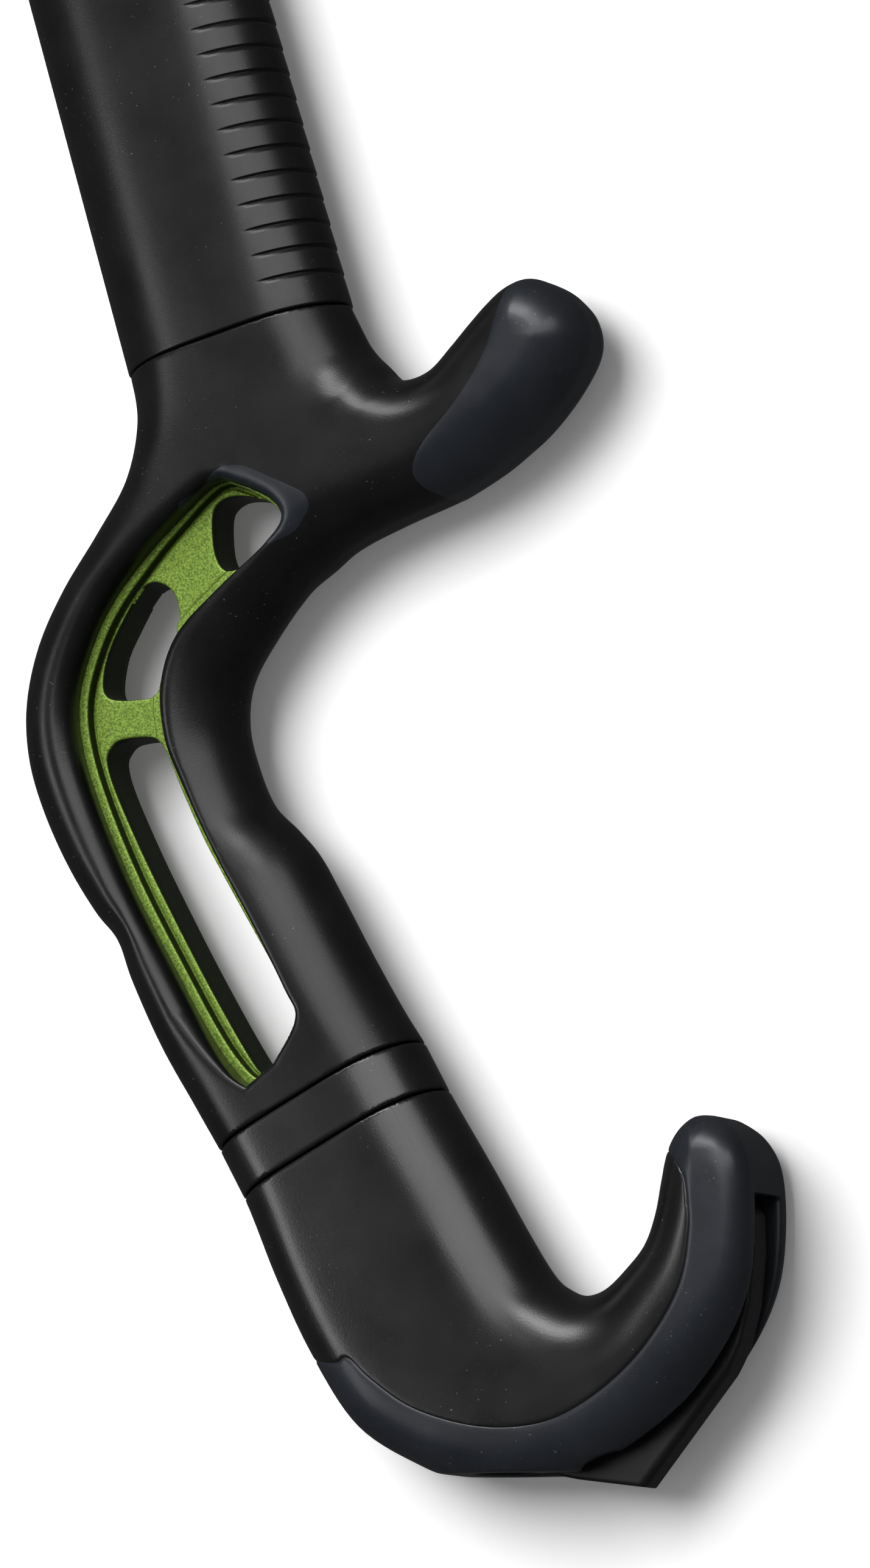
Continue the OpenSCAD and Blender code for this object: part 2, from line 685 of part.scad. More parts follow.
module handle_grip() {
    color("#2b2b2d")
        place()
            difference() {
                union() {
                    skin(smooth(handle_rows, curve_steps));
                    skin(smooth(rest_rows, curve_steps));
                }
                flared_opening(1);
                flared_opening(-1);
                plate(rim_t + 2 * fit)
                    offset(delta = fit)
                        rim_outline();
                plate(web_t + 2 * fit)
                    arm(fit);
                for (side = [-1, 1])
                    translate([0, 0, side * (rim_t / 2 + far / 2)])
                        plate(far)
                            offset(delta = fit)
                                liner_outline();
                in_shaft(-tube_lap - fit)
                    linear_extrude(height = far)
                        oval(shaft_w + 2 * fit, shaft_t + 2 * fit);
                plate(far)
                    offset(delta = fit)
                        cap_region();
                in_handle(-tenon_root - over)
                    linear_extrude(height = far)
                        square([tenon_w + 2 * fit, tenon_t + 2 * fit], center = true);
            }
}

module grip_liner() {
    color("#4a4e55")
        place()
            for (side = [-1, 1])
                translate([0, 0, side * (rim_t / 2 + fit / 2 + liner_t / 2)])
                    plate(liner_t)
                        difference() {
                            liner_outline();
                            opening();
                        }
}

module upper_rest_cap() {
    color("#383c42")
        place()
            difference() {
                intersection() {
                    loft(smooth(rest_rows, curve_steps));
                    plate(far)
                        cap_region();
                }
                plate(web_t + 2 * fit)
                    arm(fit);
            }
}

module spacer() {
    color("#29292b")
        place()
            in_handle(run)
                linear_extrude(height = spacer_t - run)
                    difference() {
                        translate([-neck_w / 2, 0])
                            polygon(section(neck_w, body_half, palm_r, finger_r));
                        square([tenon_w + 2 * run, tenon_t + 2 * run], center = true);
                    }
}

function moved(row) = [
    row[0] + pommel_top.x, row[1] + pommel_top.y, row[2] + pommel_top.x, row[3] + pommel_top.y,
    row[4], row[5], row[6]];
hook_start = edge_row(pommel_top + run * down_handle, across_handle, neck_w / 2, neck_w / 2, palm_r);
hook_curve = smooth(concat([hook_start], [for (r = hook_rows) moved(r)]), curve_steps);

module shell_region() {
    polygon(from_pommel(concat(smooth(shell_points, 2), shell_close)));
}

// Block of the core round the tenon's socket and the spike's boss, wider by grow
module core_block(grow) {
    in_pommel(0)
        linear_extrude(height = far)
            square([core_w + 2 * grow, core_t + 2 * grow], center = true);
}

module below_facet() {
    translate(pommel_top + [0, -facet_drop - far / 2])
        square([2 * far, far], center = true);
}

module slot_region() {
    offset(delta = slot_gap)
        polygon(from_pommel(concat(spike_inner, reversed(slot_outside))));
}

module pommel_grip() {
    color("#2b2b2d")
        place()
            difference() {
                loft(hook_curve);
                plate(far)
                    offset(delta = fit)
                        shell_region();
                core_block(fit);
            }
}

module pommel_core() {
    color("#383c42")
        place()
            difference() {
                intersection() {
                    loft(hook_curve);
                    union() {
                        plate(far)
                            shell_region();
                        core_block(0);
                    }
                }
                plate(spike_t + 2 * slot_gap)
                    slot_region();
                plate(slot_t)
                    polygon(from_pommel(concat(back_slot_points, reversed(wide_outside))));
                plate(far)
                    intersection() {
                        below_facet();
                        translate(pommel_top + facet_place)
                            square(facet_size, center = true);
                    }
                in_pommel(0)
                    linear_extrude(height = socket_end)
                        square([tenon_w + 2 * run, tenon_t + 2 * run], center = true);
                in_pommel(0)
                    cylinder(h = far, d = bolt_d + 2 * run);
                in_pommel(boss_top)
                    cylinder(h = far, d = boss_d + 2 * fit);
            }
}

// Long wedge that grinds the working edge of the spike on one side
module edge_bevel(side) {
    run_dir = spike_tip - spike_shoulder;
    edge_angle = atan2(run_dir.y, run_dir.x);
    translate([pommel_top.x + spike_shoulder.x, pommel_top.y + spike_shoulder.y, side * spike_t / 2])
        rotate([0, 0, edge_angle])
            rotate([side * 45, 0, 0])
                cube([3 * norm(run_dir), bevel_w, bevel_w], center = true);
}

module spike() {
    color("#1c1c1e")
        place()
            difference() {
                union() {
                    plate(spike_t)
                        polygon(from_pommel(concat(spike_outer, spike_inner, spike_lower)));
                    difference() {
                        in_pommel(boss_top + fit)
                            cylinder(h = facet_drop, d = boss_d);
                        plate(far)
                            below_facet();
                    }
                }
                in_pommel(seat)
                    cylinder(h = far, d = washer_d + 2 * run);
                in_pommel(0)
                    cylinder(h = far, d = bolt_d + 2 * run);
                edge_bevel(1);
                edge_bevel(-1);
            }
}

module pommel_washer() {
    color("silver")
        place()
            in_pommel(washer_seat)
                difference() {
                    cylinder(h = washer_t, d = washer_d);
                    translate([0, 0, -over])
                        cylinder(h = washer_t + 2 * over, d = bolt_d + 2 * run);
                }
}

module pommel_bolt() {
    color("gray")
        place()
            difference() {
                union() {
                    in_pommel(head_seat - bolt_len)
                        cylinder(h = bolt_len + over, d = bolt_d);
                    in_pommel(head_seat)
                        cylinder(h = bolt_head_h, d = bolt_head_d);
                }
                in_pommel(head_seat + bolt_head_h / 3)
                    cylinder(h = bolt_head_h, d = key_af / cos(30), $fn = 6);
            }
}

module head() {
    color("#3a3c40")
        place()
            difference() {
                union() {
                    in_head()
                        plate(shaft_t)
                            intersection() {
                                polygon(closed_curve(head_points, 3));
                                translate([-far / 2, fit])
                                    square([far, far]);
                            }
                    in_head()
                        translate([0, -plug_len])
                            rotate([-90, 0, 0])
                                linear_extrude(height = plug_len + over)
                                    inner_oval();
                }
                in_head()
                    translate([0, slot_floor + far / 2])
                        cube([far, far, pick_t + 2 * fit], center = true);
                head_bolt_rods(pick_bolt_d + 2 * fit);
                head_rivet_rods(rivet_d + 2 * fit, far);
                in_head()
                    translate(clip_place)
                        cylinder(h = far, d = clip_d, center = true);
            }
}

module head_bolt_rods(d) {
    in_head()
        for (p = pick_bolt_places)
            translate(p)
                cylinder(h = far, d = d, center = true);
}

module head_rivets() {
    color("silver")
        place()
            head_rivet_rods(rivet_d, shaft_t - 2 * fit);
}

// Lower edge of the pick: each tooth drops steeply and runs back along the curve
lower_curve = smooth(pick_lower, 6);
function along(points, t) =
    let (x = t * (len(points) - 1), i = min(floor(x), len(points) - 2))
    points[i] + (points[i + 1] - points[i]) * (x - i);
tooth_points = [
    for (i = [0 : teeth - 1])
        each [along(lower_curve, i / teeth) - [0, tooth_d / 2],
              along(lower_curve, (i + tooth_rise) / teeth) + [0, tooth_d / 2]]];

module pick_outline() {
    polygon(concat(pick_back, smooth(pick_upper, 4), tooth_points,
                   [pick_lower[len(pick_lower) - 1], pick_heel]));
}

module pick() {
    color("#56585c")
        place()
            difference() {
                in_head()
                    plate(pick_t)
                        pick_outline();
                head_bolt_rods(pick_bolt_d + 2 * fit);
                in_head()
                    translate(clip_place)
                        cylinder(h = far, d = clip_d + 2 * slot_gap, center = true);
                hammer_bolt_rod(hammer_bolt_d + 2 * fit, far, 0);
            }
}

// Pick bolts come from above, their nuts sit below
module pick_bolts() {
    color("gray")
        place()
            in_head()
                for (p = pick_bolt_places)
                    translate([p.x, p.y, -body_half]) {
                        cylinder(h = body_t - pick_head_h + 2 * fit, d = pick_bolt_d);
                        translate([0, 0, body_t - pick_head_h + fit])
                            pick_bolt_head();
                    }
}

module pick_bolt_head() {
    difference() {
        cylinder(h = pick_head_h - fit, d = pick_head_d);
        translate([0, 0, pick_head_h / 3])
            cylinder(h = pick_head_h, d = key_af / cos(30), $fn = 6);
    }
}

module pick_nuts() {
    color("silver")
        place()
            in_head()
                for (p = pick_bolt_places)
                    translate([p.x, p.y, -body_half])
                        difference() {
                            cylinder(h = pick_head_h - fit, d = pick_head_d, $fn = 6);
                            translate([0, 0, -over])
                                cylinder(h = pick_head_h + 2 * over, d = pick_bolt_d + 2 * fit);
                        }
}

// Rod along the hammer bolt, of length l and centred at height z
module hammer_bolt_rod(d, l, z) {
    in_head()
        translate([hammer_bolt_x, hammer_place, z])
            cylinder(h = l, d = d, center = true);
}

module hammer() {
    color("#46484c")
        place()
            difference() {
                in_head()
                    translate([hammer_front, hammer_place])
                        rotate([0, -90, 0]) {
                            translate([-hammer_neck / 2, -hammer_neck / 2, 0])
                                cube([hammer_neck, hammer_neck, hammer_neck]);
                            translate([0, 0, hammer_neck])
                                cylinder(h = hammer_len, d = hammer_d);
                        }
                in_head()
                    translate([pick_back[0].x - slot_gap + far / 2, hammer_place])
                        cube([far, far, pick_t + 2 * fit], center = true);
                hammer_bolt_rod(hammer_bolt_d + 2 * fit, far, 0);
            }
}

module hammer_bolt() {
    color("gray")
        place() {
            hammer_bolt_rod(hammer_bolt_d, hammer_neck + hammer_head_h, -hammer_head_h / 2);
            hammer_bolt_rod(hammer_head_d, hammer_head_h, hammer_neck / 2 + hammer_head_h / 2);
        }
}

module hammer_nut() {
    color("silver")
        place()
            difference() {
                in_head()
                    translate([hammer_bolt_x, hammer_place, -hammer_neck / 2 - hammer_head_h])
                        cylinder(h = hammer_head_h, d = hammer_head_d, $fn = 6);
                hammer_bolt_rod(hammer_bolt_d + 2 * fit, far, 0);
            }
}

shaft();
shaft_grip();
handle_frame();
handle_grip();
grip_liner();
upper_rest_cap();
frame_rivets();
thread_insert();
spacer();
pommel_grip();
pommel_core();
spike();
pommel_bolt();
pommel_washer();
head();
head_rivets();
pick();
pick_bolts();
pick_nuts();
hammer();
hammer_bolt();
hammer_nut();
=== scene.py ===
import math

import bpy
import numpy as np
import openvdb
from mathutils import Matrix, Vector


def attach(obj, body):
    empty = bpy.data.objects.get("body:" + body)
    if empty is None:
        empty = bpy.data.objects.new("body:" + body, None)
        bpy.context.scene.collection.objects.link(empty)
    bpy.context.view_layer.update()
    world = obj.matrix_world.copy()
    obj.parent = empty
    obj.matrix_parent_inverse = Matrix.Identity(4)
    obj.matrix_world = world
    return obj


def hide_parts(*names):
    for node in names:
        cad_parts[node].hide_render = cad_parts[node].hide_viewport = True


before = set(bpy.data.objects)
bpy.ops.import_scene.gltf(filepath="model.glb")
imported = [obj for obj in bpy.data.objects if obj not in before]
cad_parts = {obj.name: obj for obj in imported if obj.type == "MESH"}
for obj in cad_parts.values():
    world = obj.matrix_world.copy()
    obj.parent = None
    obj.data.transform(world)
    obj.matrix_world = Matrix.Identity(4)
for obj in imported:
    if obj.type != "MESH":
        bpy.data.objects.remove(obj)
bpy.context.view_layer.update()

# Ice climbing tool. The soft and cast forms are drawn as distance fields over the tool's swing
# plane, in mm, and turned into meshes. Small fasteners stay as their solids with rounded edges.

MM = 0.001
# Where the drawing plane's origin lies in the frame, in mm
SHIFT = np.array([2.594, -150.36, 11.5])


def turned(degrees):
    """Unit direction in the drawing plane."""
    return np.array([math.cos(math.radians(degrees)), math.sin(math.radians(degrees))])


# Directions and places along the tool
SHAFT_TILT = 16
ACROSS_SHAFT = turned(SHAFT_TILT)
UP_SHAFT = turned(SHAFT_TILT + 90)
HANDLE_TILT = 28.5
ACROSS_HANDLE = turned(HANDLE_TILT)
DOWN_HANDLE = turned(HANDLE_TILT - 90)
HEAD_TILT = -22
ACROSS_HEAD = turned(HEAD_TILT)
UP_HEAD = turned(HEAD_TILT + 90)
GRIP_TOP = np.array([-31.4, 69.8])
GRIP_END = np.array([-17.8, -47.5])
SPACER_T = 8.5
POMMEL_TOP = GRIP_END + SPACER_T * DOWN_HANDLE

# Shaft and its rubber sleeve
SHAFT_W, SHAFT_T, SHAFT_WALL = 30, 17.4, 1.6
SLEEVE_W, SLEEVE_T, SLEEVE_LEN, PALM_SWELL = 35.6, 23, 96, 1.6
BARE_RUN, BEND_R, SHAFT_TOP, TUBE_LAP = 8, 250, 24, 12
BEND_CENTRE = GRIP_TOP + (SLEEVE_LEN + BARE_RUN) * UP_SHAFT + BEND_R * ACROSS_SHAFT
SHAFT_END = BEND_CENTRE - BEND_R * ACROSS_HEAD + SHAFT_TOP * UP_HEAD

# Half thickness of handle and hook, rounding of their edges, and half width of the neck
BODY_HALF = 11.5
PALM_R, FINGER_R, REST_R, TOP_R = 6.5, 10.8, 9.0, 10.8
NECK_HALF = 17.5
# Gaps: between fixed pieces, and between those that slide or turn
FIT, RUN = 0.15, 0.3

# Handle, from the sleeve down to the spacer: palm side x, y and finger side x, y
HANDLE_ROWS = [
    (*(GRIP_TOP - (SLEEVE_W / 2 + PALM_SWELL) * ACROSS_SHAFT), *(GRIP_TOP + SLEEVE_W / 2 * ACROSS_SHAFT)),
    (-48.3, 57.3, -10.5, 66.5), (-49.4, 48.5, -8, 55.5), (-54, 40.5, -11.5, 43.5),
    (-59.5, 32, -20.6, 31.5), (-63.7, 23.2, -26.3, 24), (-65.8, 14, -30.5, 17), (-65.3, 5.5, -31.3, 10.5),
    (-62.6, -3, -29.7, 4), (-58.5, -11.5, -27, -2), (-54, -18.5, -23, -6), (-50.3, -23, -19.5, -10),
    (-47.8, -29.5, -16, -16), (-43, -39.5, -10.5, -26), (-37.5, -48.7, -5.8, -34),
    (*(GRIP_END - NECK_HALF * ACROSS_HANDLE), *(GRIP_END + NECK_HALF * ACROSS_HANDLE))]
# The palm edge of the handle is rounder where it meets the sleeve
PALM_RADII = [TOP_R, (TOP_R + PALM_R) / 2] + [PALM_R] * (len(HANDLE_ROWS) - 2)

# Finger rest: its under side, its tip and its valley side
REST_UNDER = [(-40, 36), (-22, 33.2), (-14, 36.6), (-5.7, 40.2), (2.4, 43.2), (6, 44.9), (10.7, 47.6),
              (14.4, 50.3), (17.8, 53.1), (21.2, 56.8), (24, 60.7), (25.9, 64.3), (26.4, 67.5),
              (25.5, 70.8)]
REST_TIP = [(23.6, 73.2)]
REST_VALLEY = [(21.2, 75.1), (17.6, 76.6), (15, 76.5), (12.4, 75.3), (9.8, 73.1), (7, 70.2),
               (3.9, 66.8), (0.7, 63.6), (-3, 62.2), (-6, 62.7), (-9.5, 65.1), (-16, 66), (-40, 66)]

# Pommel hook, from POMMEL_TOP: its outer side, its tip and the inside of the hook
HOOK_OUTER = [(-10, -20.9), (-4.2, -32.5), (3.4, -43.4), (13.8, -49.6), (20.5, -51.8), (26, -52.8),
              (31.5, -52.9), (37, -52), (46, -48.4), (56.4, -41.3), (63.1, -32.2), (66.8, -23.5),
              (67.8, -14.5), (67.3, -5.5), (65.3, -0.7)]
HOOK_TIP = [(62.2, 1.9), (59.8, 2.6), (57.2, 2.4)]
HOOK_INNER = [(54.6, 0.3), (52.9, -3), (52, -7), (51, -12), (49.2, -16.5), (46, -20), (42.3, -22.9),
              (38.8, -23.9), (35.8, -22.9), (32.8, -20.4), (28.3, -13.4), (22.8, -3.9)]

# Opening of the grip: palm side down, then finger side down
OPENING_PALM = [(-31.2, 47.3), (-34.5, 46.4), (-40.7, 41), (-45.5, 36.3), (-50.5, 30.2), (-54, 23.8),
                (-56.5, 15.5), (-56.2, 8), (-53.3, -1.5), (-47.6, -14.4), (-40.1, -28.2), (-34, -38.7),
                (-29.7, -44.3), (-26.8, -46.4)]
OPENING_FINGER = [(-27, 45.8), (-23, 43.6), (-21.6, 40.6), (-25.2, 36.4), (-32.3, 30.4), (-39, 23.6),
                  (-41.6, 16), (-41.1, 8.5), (-38.7, 2), (-33.3, -8.5), (-26.3, -20.7), (-20.6, -31.5),
                  (-18.7, -36.3), (-22.2, -42.9)]

# Windows through the frame's web
WINDOWS = [
    [(-35.1, 42), (-34.8, 37), (-33.4, 34.1), (-31, 33.6), (-27.7, 35), (-24.4, 37.4), (-23, 40),
     (-23.3, 42.3), (-25.2, 44), (-28.5, 45), (-32, 45.2), (-34.3, 44.1)],
    [(-53.3, 17), (-52.5, 15), (-50, 14.4), (-46.5, 14.5), (-44.1, 14.9), (-43.4, 16.2), (-42.6, 19),
     (-41.6, 21.3), (-40.6, 23.6), (-40.6, 27.5), (-41.4, 30.4), (-43.2, 32.1), (-45.5, 32.4),
     (-47.5, 31), (-50.6, 25.8), (-52.6, 21.5)],
    [(-52.6, 5), (-52, 7), (-50.5, 8.2), (-47, 8.6), (-44.3, 8.2), (-42.6, 6.8), (-41.1, 3.6),
     (-39.5, -0.2), (-36.1, -7.3), (-33.3, -12.3), (-29.3, -19.2), (-25.1, -26.3), (-21.4, -32.8),
     (-19.9, -36), (-20.6, -38.5), (-23.8, -43), (-26, -44), (-27.3, -43.4), (-31, -37.8),
     (-36.6, -28.2), (-41.8, -18.7), (-46.8, -9.1), (-51.2, 0.4)]]

# Border of the grey liner at the top of the opening, and of the grey cap on the finger rest
LINER = [(-38.5, 42.5), (-35, 46), (-31.8, 48.6), (-29.2, 49.2), (-26.5, 48.7), (-20, 45.8), (-17.4, 44.4),
         (-16.6, 42.7), (-17.4, 41), (-20.5, 38), (-28, 37)]
CAP = [(15, 80), (13.7, 70), (12.2, 64.4), (7.9, 57.6), (2.5, 51.5), (0.2, 47.5), (1, 44.8),
       (4.5, 43), (9.5, 41)]
CAP_CLOSE = [(40, 41), (40, 80)]

# From POMMEL_TOP: border of the grey shell, outline of the spike, and the slot for it
SHELL = [(-20, -30), (-0.2, -34), (3.6, -33.4), (7.1, -36.4), (13.5, -40.8), (21.2, -43.5),
         (28.8, -44.5), (36.5, -43.6), (43.5, -40.2), (50, -35), (55.1, -28.7), (58.3, -22.3),
         (59.5, -15.1), (59.3, -11), (58.6, -7.2), (57, -4.8), (54.9, -3), (50, -1), (46, 0), (46, 8)]
SHELL_CLOSE = [(90, 8), (90, -80), (-20, -80)]
SPIKE_TIP, SPIKE_SHOULDER = (48.9, -53.2), (62.2, -36.4)
SPIKE_OUTER = [(64.3, -31.8), (65.8, -26), (66.6, -18), (66.4, -12.5)]
SPIKE_INNER = [(65, -10.3), (62.5, -10.5), (61.5, -18), (58.8, -26), (53.5, -34), (45.5, -40.5),
               (35, -45.5), (22, -46.5)]
SPIKE_LOWER = [(24, -49), (38, -51.8)]
SLOT_OUTSIDE = [(30, -70), (80, -70), (80, -9)]
# Wide part of the slot along the hook's back, and the notch at its lower end
BACK_SLOT = [(63.6, -9.4), (63.3, -18), (61.3, -26), (57.6, -33), (51.8, -38.6), (46, -42.3), (41, -44.6),
             (39.3, -47), (39.3, -70), (80, -70), (80, -9.4)]
NOTCH = [(49, -48.6), (46.6, -47.9), (44.1, -48.2), (41.6, -49.2), (40.1, -50.1), (40.3, -51.5), (45, -53),
         (50, -51)]


# Curves and distances in the drawing plane

def spline(points, steps, closed=False):
    """Smooth curve through points or rows of numbers."""
    p = np.asarray(points, float)
    n = len(p)
    t = (np.arange(steps) / steps)[:, None]
    spans = []
    for i in range(n if closed else n - 1):
        at = [(i + k) % n if closed else min(max(i + k, 0), n - 1) for k in (-1, 0, 1, 2)]
        a, b, c, d = p[at]
        spans.append(0.5 * (2 * b + (c - a) * t + (2 * a - 5 * b + 4 * c - d) * t ** 2
                            + (3 * b - a - 3 * c + d) * t ** 3))
    return np.vstack(spans if closed else spans + [p[-1:]])


class Grid:
    """Points of a box round a piece, in mm: x and y lie in the swing plane, z across it."""

    def __init__(self, low, high, cell):
        self.low = np.array(low, float)
        self.cell = cell
        ax, ay, az = (np.arange(a, b + cell, cell, dtype=np.float32) for a, b in zip(low, high))
        self.x, self.y = (g[:, :, None] for g in np.meshgrid(ax, ay, indexing="ij"))
        self.z = az[None, None, :]

    def along(self, origin, direction):
        """Distance of each point from an origin along a direction of the plane."""
        return (self.x - origin[0]) * direction[0] + (self.y - origin[1]) * direction[1]

    def plan(self, outline, values=None):
        """Distance from a closed outline, negative inside, and the value of its nearest point."""
        best = np.full(self.x.shape, 1e9, np.float32)
        inside = np.zeros(self.x.shape, bool)
        near = np.zeros(self.x.shape, np.float32)
        n = len(outline)
        for i in range(n):
            ax, ay = outline[i]
            bx, by = outline[(i + 1) % n]
            ex, ey = bx - ax, by - ay
            px, py = self.x - ax, self.y - ay
            t = np.clip((px * ex + py * ey) / max(ex * ex + ey * ey, 1e-9), 0, 1)
            d = (px - t * ex) ** 2 + (py - t * ey) ** 2
            if values is not None:
                value = values[i] + t * (values[(i + 1) % n] - values[i])
                near = np.where(d < best, value, near)
            best = np.minimum(best, d)
            if ey:
                inside ^= ((ay > self.y) != (by > self.y)) & (px < ex * py / ey)
        signed = np.where(inside, -1, 1) * np.sqrt(best)
        return signed if values is None else (signed, near)


def softened(values, cell, reach):
    """Values over the plane of a grid with their jumps blurred over a reach in mm."""
    fx, fy = (np.fft.fftfreq(n, cell) for n in values.shape[:2])
    soft = np.exp(-2 * (math.pi * reach) ** 2 * (fx[:, None] ** 2 + fy ** 2))[:, :, None]
    return np.fft.ifft2(np.fft.fft2(values, axes=(0, 1)) * soft, axes=(0, 1)).real


# How gently the rounding of an edge sets in, as a share of its radius
EASE = 0.4
# Over what reach the radius of one side passes into that of the other
RADIUS_BLUR = 2.0


def plate(plan, z, half, radius):
    """Plate over a plan distance, with its edges rounded; the rounding sets in gently."""
    side = plan + radius
    side = (side + np.sqrt(side * side + (EASE * radius) ** 2)) / (1 + math.sqrt(1 + EASE * EASE))
    face = np.abs(z) - half + radius
    return (np.hypot(np.maximum(side, 0), np.maximum(face, 0))
            + np.minimum(np.maximum(side, face), 0) - radius)


def meet(a, b, soft):
    """What two fields share, with a soft edge."""
    h = np.maximum(soft - np.abs(a - b), 0) / soft
    return np.maximum(a, b) + h * h * soft / 4


def join(a, b, soft):
    """Two fields together, with a soft fillet."""
    return -meet(-a, -b, soft)


def shared(*fields):
    """What all fields share, with sharp edges."""
    return np.maximum.reduce(np.broadcast_arrays(*fields))


def united(*fields):
    """All fields together, with sharp edges."""
    return np.minimum.reduce(np.broadcast_arrays(*fields))


def in_drawing(points):
    """Points that are in the drawing plane already."""
    return points


def in_head(points):
    """Head frame to drawing plane."""
    flat = SHAFT_END + points[:, :1] * ACROSS_HEAD + points[:, 1:2] * UP_HEAD
    return np.hstack([flat, points[:, 2:]])


def in_handle(points):
    """Handle frame, across and down from GRIP_END, to drawing plane."""
    flat = GRIP_END + points[:, :1] * ACROSS_HANDLE + points[:, 1:2] * DOWN_HANDLE
    return np.hstack([flat, points[:, 2:]])


def skin(grid, field, place=in_drawing):
    """Surface of a field as points in metres and quads."""
    volume = openvdb.FloatGrid(3 * grid.cell)
    volume.copyFromArray(np.ascontiguousarray(field, np.float32))
    points, quads = volume.convertToQuads(0.0)
    return (place(points * grid.cell + grid.low) + SHIFT) * MM, quads


def sweep(rings):
    """Skin over a closed row of rings with equal counts of points, in metres and quads."""
    count, around = len(rings), len(rings[0])
    points = (np.vstack(rings) + SHIFT) * MM
    here = np.arange(around)
    ahead = (here + 1) % around
    quads = []
    for i in range(count):
        low, high = i * around, (i + 1) % count * around
        quads.append(np.stack([low + here, low + ahead, high + ahead, high + here], 1))
    return points, np.vstack(quads)


def piece(node, meshes, material, body="handle"):
    """Object made of one or more skins that stands for a CAD node."""
    start, points, faces = 0, [], []
    for p, f in meshes:
        points.append(p)
        faces.extend((np.asarray(f) + start).tolist())
        start += len(p)
    mesh = bpy.data.meshes.new(node + "_form")
    mesh.from_pydata(np.vstack(points).tolist(), [], faces)
    mesh.validate()
    obj = bpy.data.objects.new(node + "_form", mesh)
    settle(obj, node, material, body)


def settle(obj, node, material, body):
    """Puts a new piece in the scene, on its body and in its node's place."""
    bpy.context.scene.collection.objects.link(obj)
    obj.data.materials.clear()
    obj.data.materials.append(material)
    for face in obj.data.polygons:
        face.use_smooth = True
    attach(obj, body)
    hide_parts(node)


# Faces within this angle are joined, and edges over the other one are rounded, in degrees
FLAT_ANGLE, EDGE_ANGLE = 1, 35


def rounded_copy(node, width, material, body):
    """Copy of a CAD node with its edges rounded."""
    obj = bpy.data.objects.new(node + "_form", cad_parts[node].data.copy())
    settle(obj, node, material, body)
    flat = obj.modifiers.new("flat faces", "DECIMATE")
    flat.decimate_type = "DISSOLVE"
    flat.angle_limit = math.radians(FLAT_ANGLE)
    edge = obj.modifiers.new("rounded edges", "BEVEL")
    edge.width = width * MM
    edge.segments = 3
    edge.limit_method = "ANGLE"
    edge.angle_limit = math.radians(EDGE_ANGLE)
    edge.harden_normals = True


# Materials

class Paint:
    """Material whose main shader is fed by procedural nodes."""

    def __init__(self, name):
        self.material = bpy.data.materials.new(name)
        self.material.use_nodes = True
        self.tree = self.material.node_tree
        self.coords = self.tree.nodes.new("ShaderNodeTexCoord").outputs

    def feed(self, socket, value):
        """Links a socket to another one, or sets it to a constant."""
        if isinstance(value, bpy.types.NodeSocket):
            self.tree.links.new(value, socket)
        else:
            socket.default_value = value

    def add(self, kind, inputs, **settings):
        """New node with its settings and inputs."""
        node = self.tree.nodes.new(kind)
        for key, value in settings.items():
            setattr(node, key, value)
        for key, value in inputs.items():
            self.feed(node.inputs[key], value)
        return node

    def math(self, operation, *values):
        """Result of a calculation with one or two values."""
        return self.add("ShaderNodeMath", dict(enumerate(values)), operation=operation).outputs[0]

    def noise(self, size, detail, roughness=0.5):
        """Noise with features of about this size in mm."""
        inputs = {"Vector": self.coords["Object"], "Scale": 1 / (size * MM),
                  "Detail": detail, "Roughness": roughness}
        return self.add("ShaderNodeTexNoise", inputs).outputs["Fac"]

    def span(self, value, low, high, to_low=0.0, to_high=1.0):
        """Value mapped from one range to another and kept inside it."""
        inputs = {"Value": value, "From Min": low, "From Max": high, "To Min": to_low, "To Max": to_high}
        return self.add("ShaderNodeMapRange", inputs).outputs["Result"]

    def mix(self, factor, a, b):
        """Colour between two colours."""
        node = self.add("ShaderNodeMix", {}, data_type="RGBA")
        sockets = [socket for socket in node.inputs if socket.enabled]
        for socket, value in zip(sockets, (factor, a, b)):
            self.feed(socket, value)
        return next(socket for socket in node.outputs if socket.enabled)

    def bump(self, height, distance, strength):
        """Relief of a height map; distance in mm."""
        inputs = {"Height": height, "Distance": distance * MM, "Strength": strength}
        return self.add("ShaderNodeBump", inputs).outputs["Normal"]

    def finish(self, **inputs):
        """Feeds the main shader and hands over the material."""
        shader = self.tree.nodes["Principled BSDF"]
        for key, value in inputs.items():
            self.feed(shader.inputs[key.replace("_", " ")], value)
        return self.material


def rgb(*values):
    """Colour with full cover."""
    return (*values, 1.0)


# Sizes of what the materials show, in mm: patches of sheen and of dust, specks, blasting, sparkle, clouds
SHEEN_PATCH, DUST_PATCH, SPECK = 9.0, 14.0, 0.5
BLASTING, SPARKLE = 0.18, 0.3
CLOUD = 6.0


def moulded(name, dark, light, dust, rough, shine, grain, depth):
    """Moulded rubber or plastic: fine grain, uneven sheen and light specks of dust."""
    paint = Paint(name)
    patches = paint.noise(SHEEN_PATCH, 3.0)
    sheen = paint.span(patches, 0.25, 0.75, rough - 0.03, rough + 0.03)
    colour = paint.mix(paint.span(patches, 0.3, 0.7), dark, light)
    # Dust lies in patches, as single specks
    specks = paint.span(paint.noise(SPECK, 1.0), 0.74, 0.78)
    dusty = paint.span(paint.noise(DUST_PATCH, 2.0), 0.5, 0.62)
    colour = paint.mix(paint.math("MULTIPLY", specks, dusty), colour, dust)
    relief = paint.bump(paint.noise(grain, 2.0, 0.6), depth, 1.0)
    return paint.finish(Base_Color=colour, Roughness=sheen, Specular_IOR_Level=shine, Normal=relief)


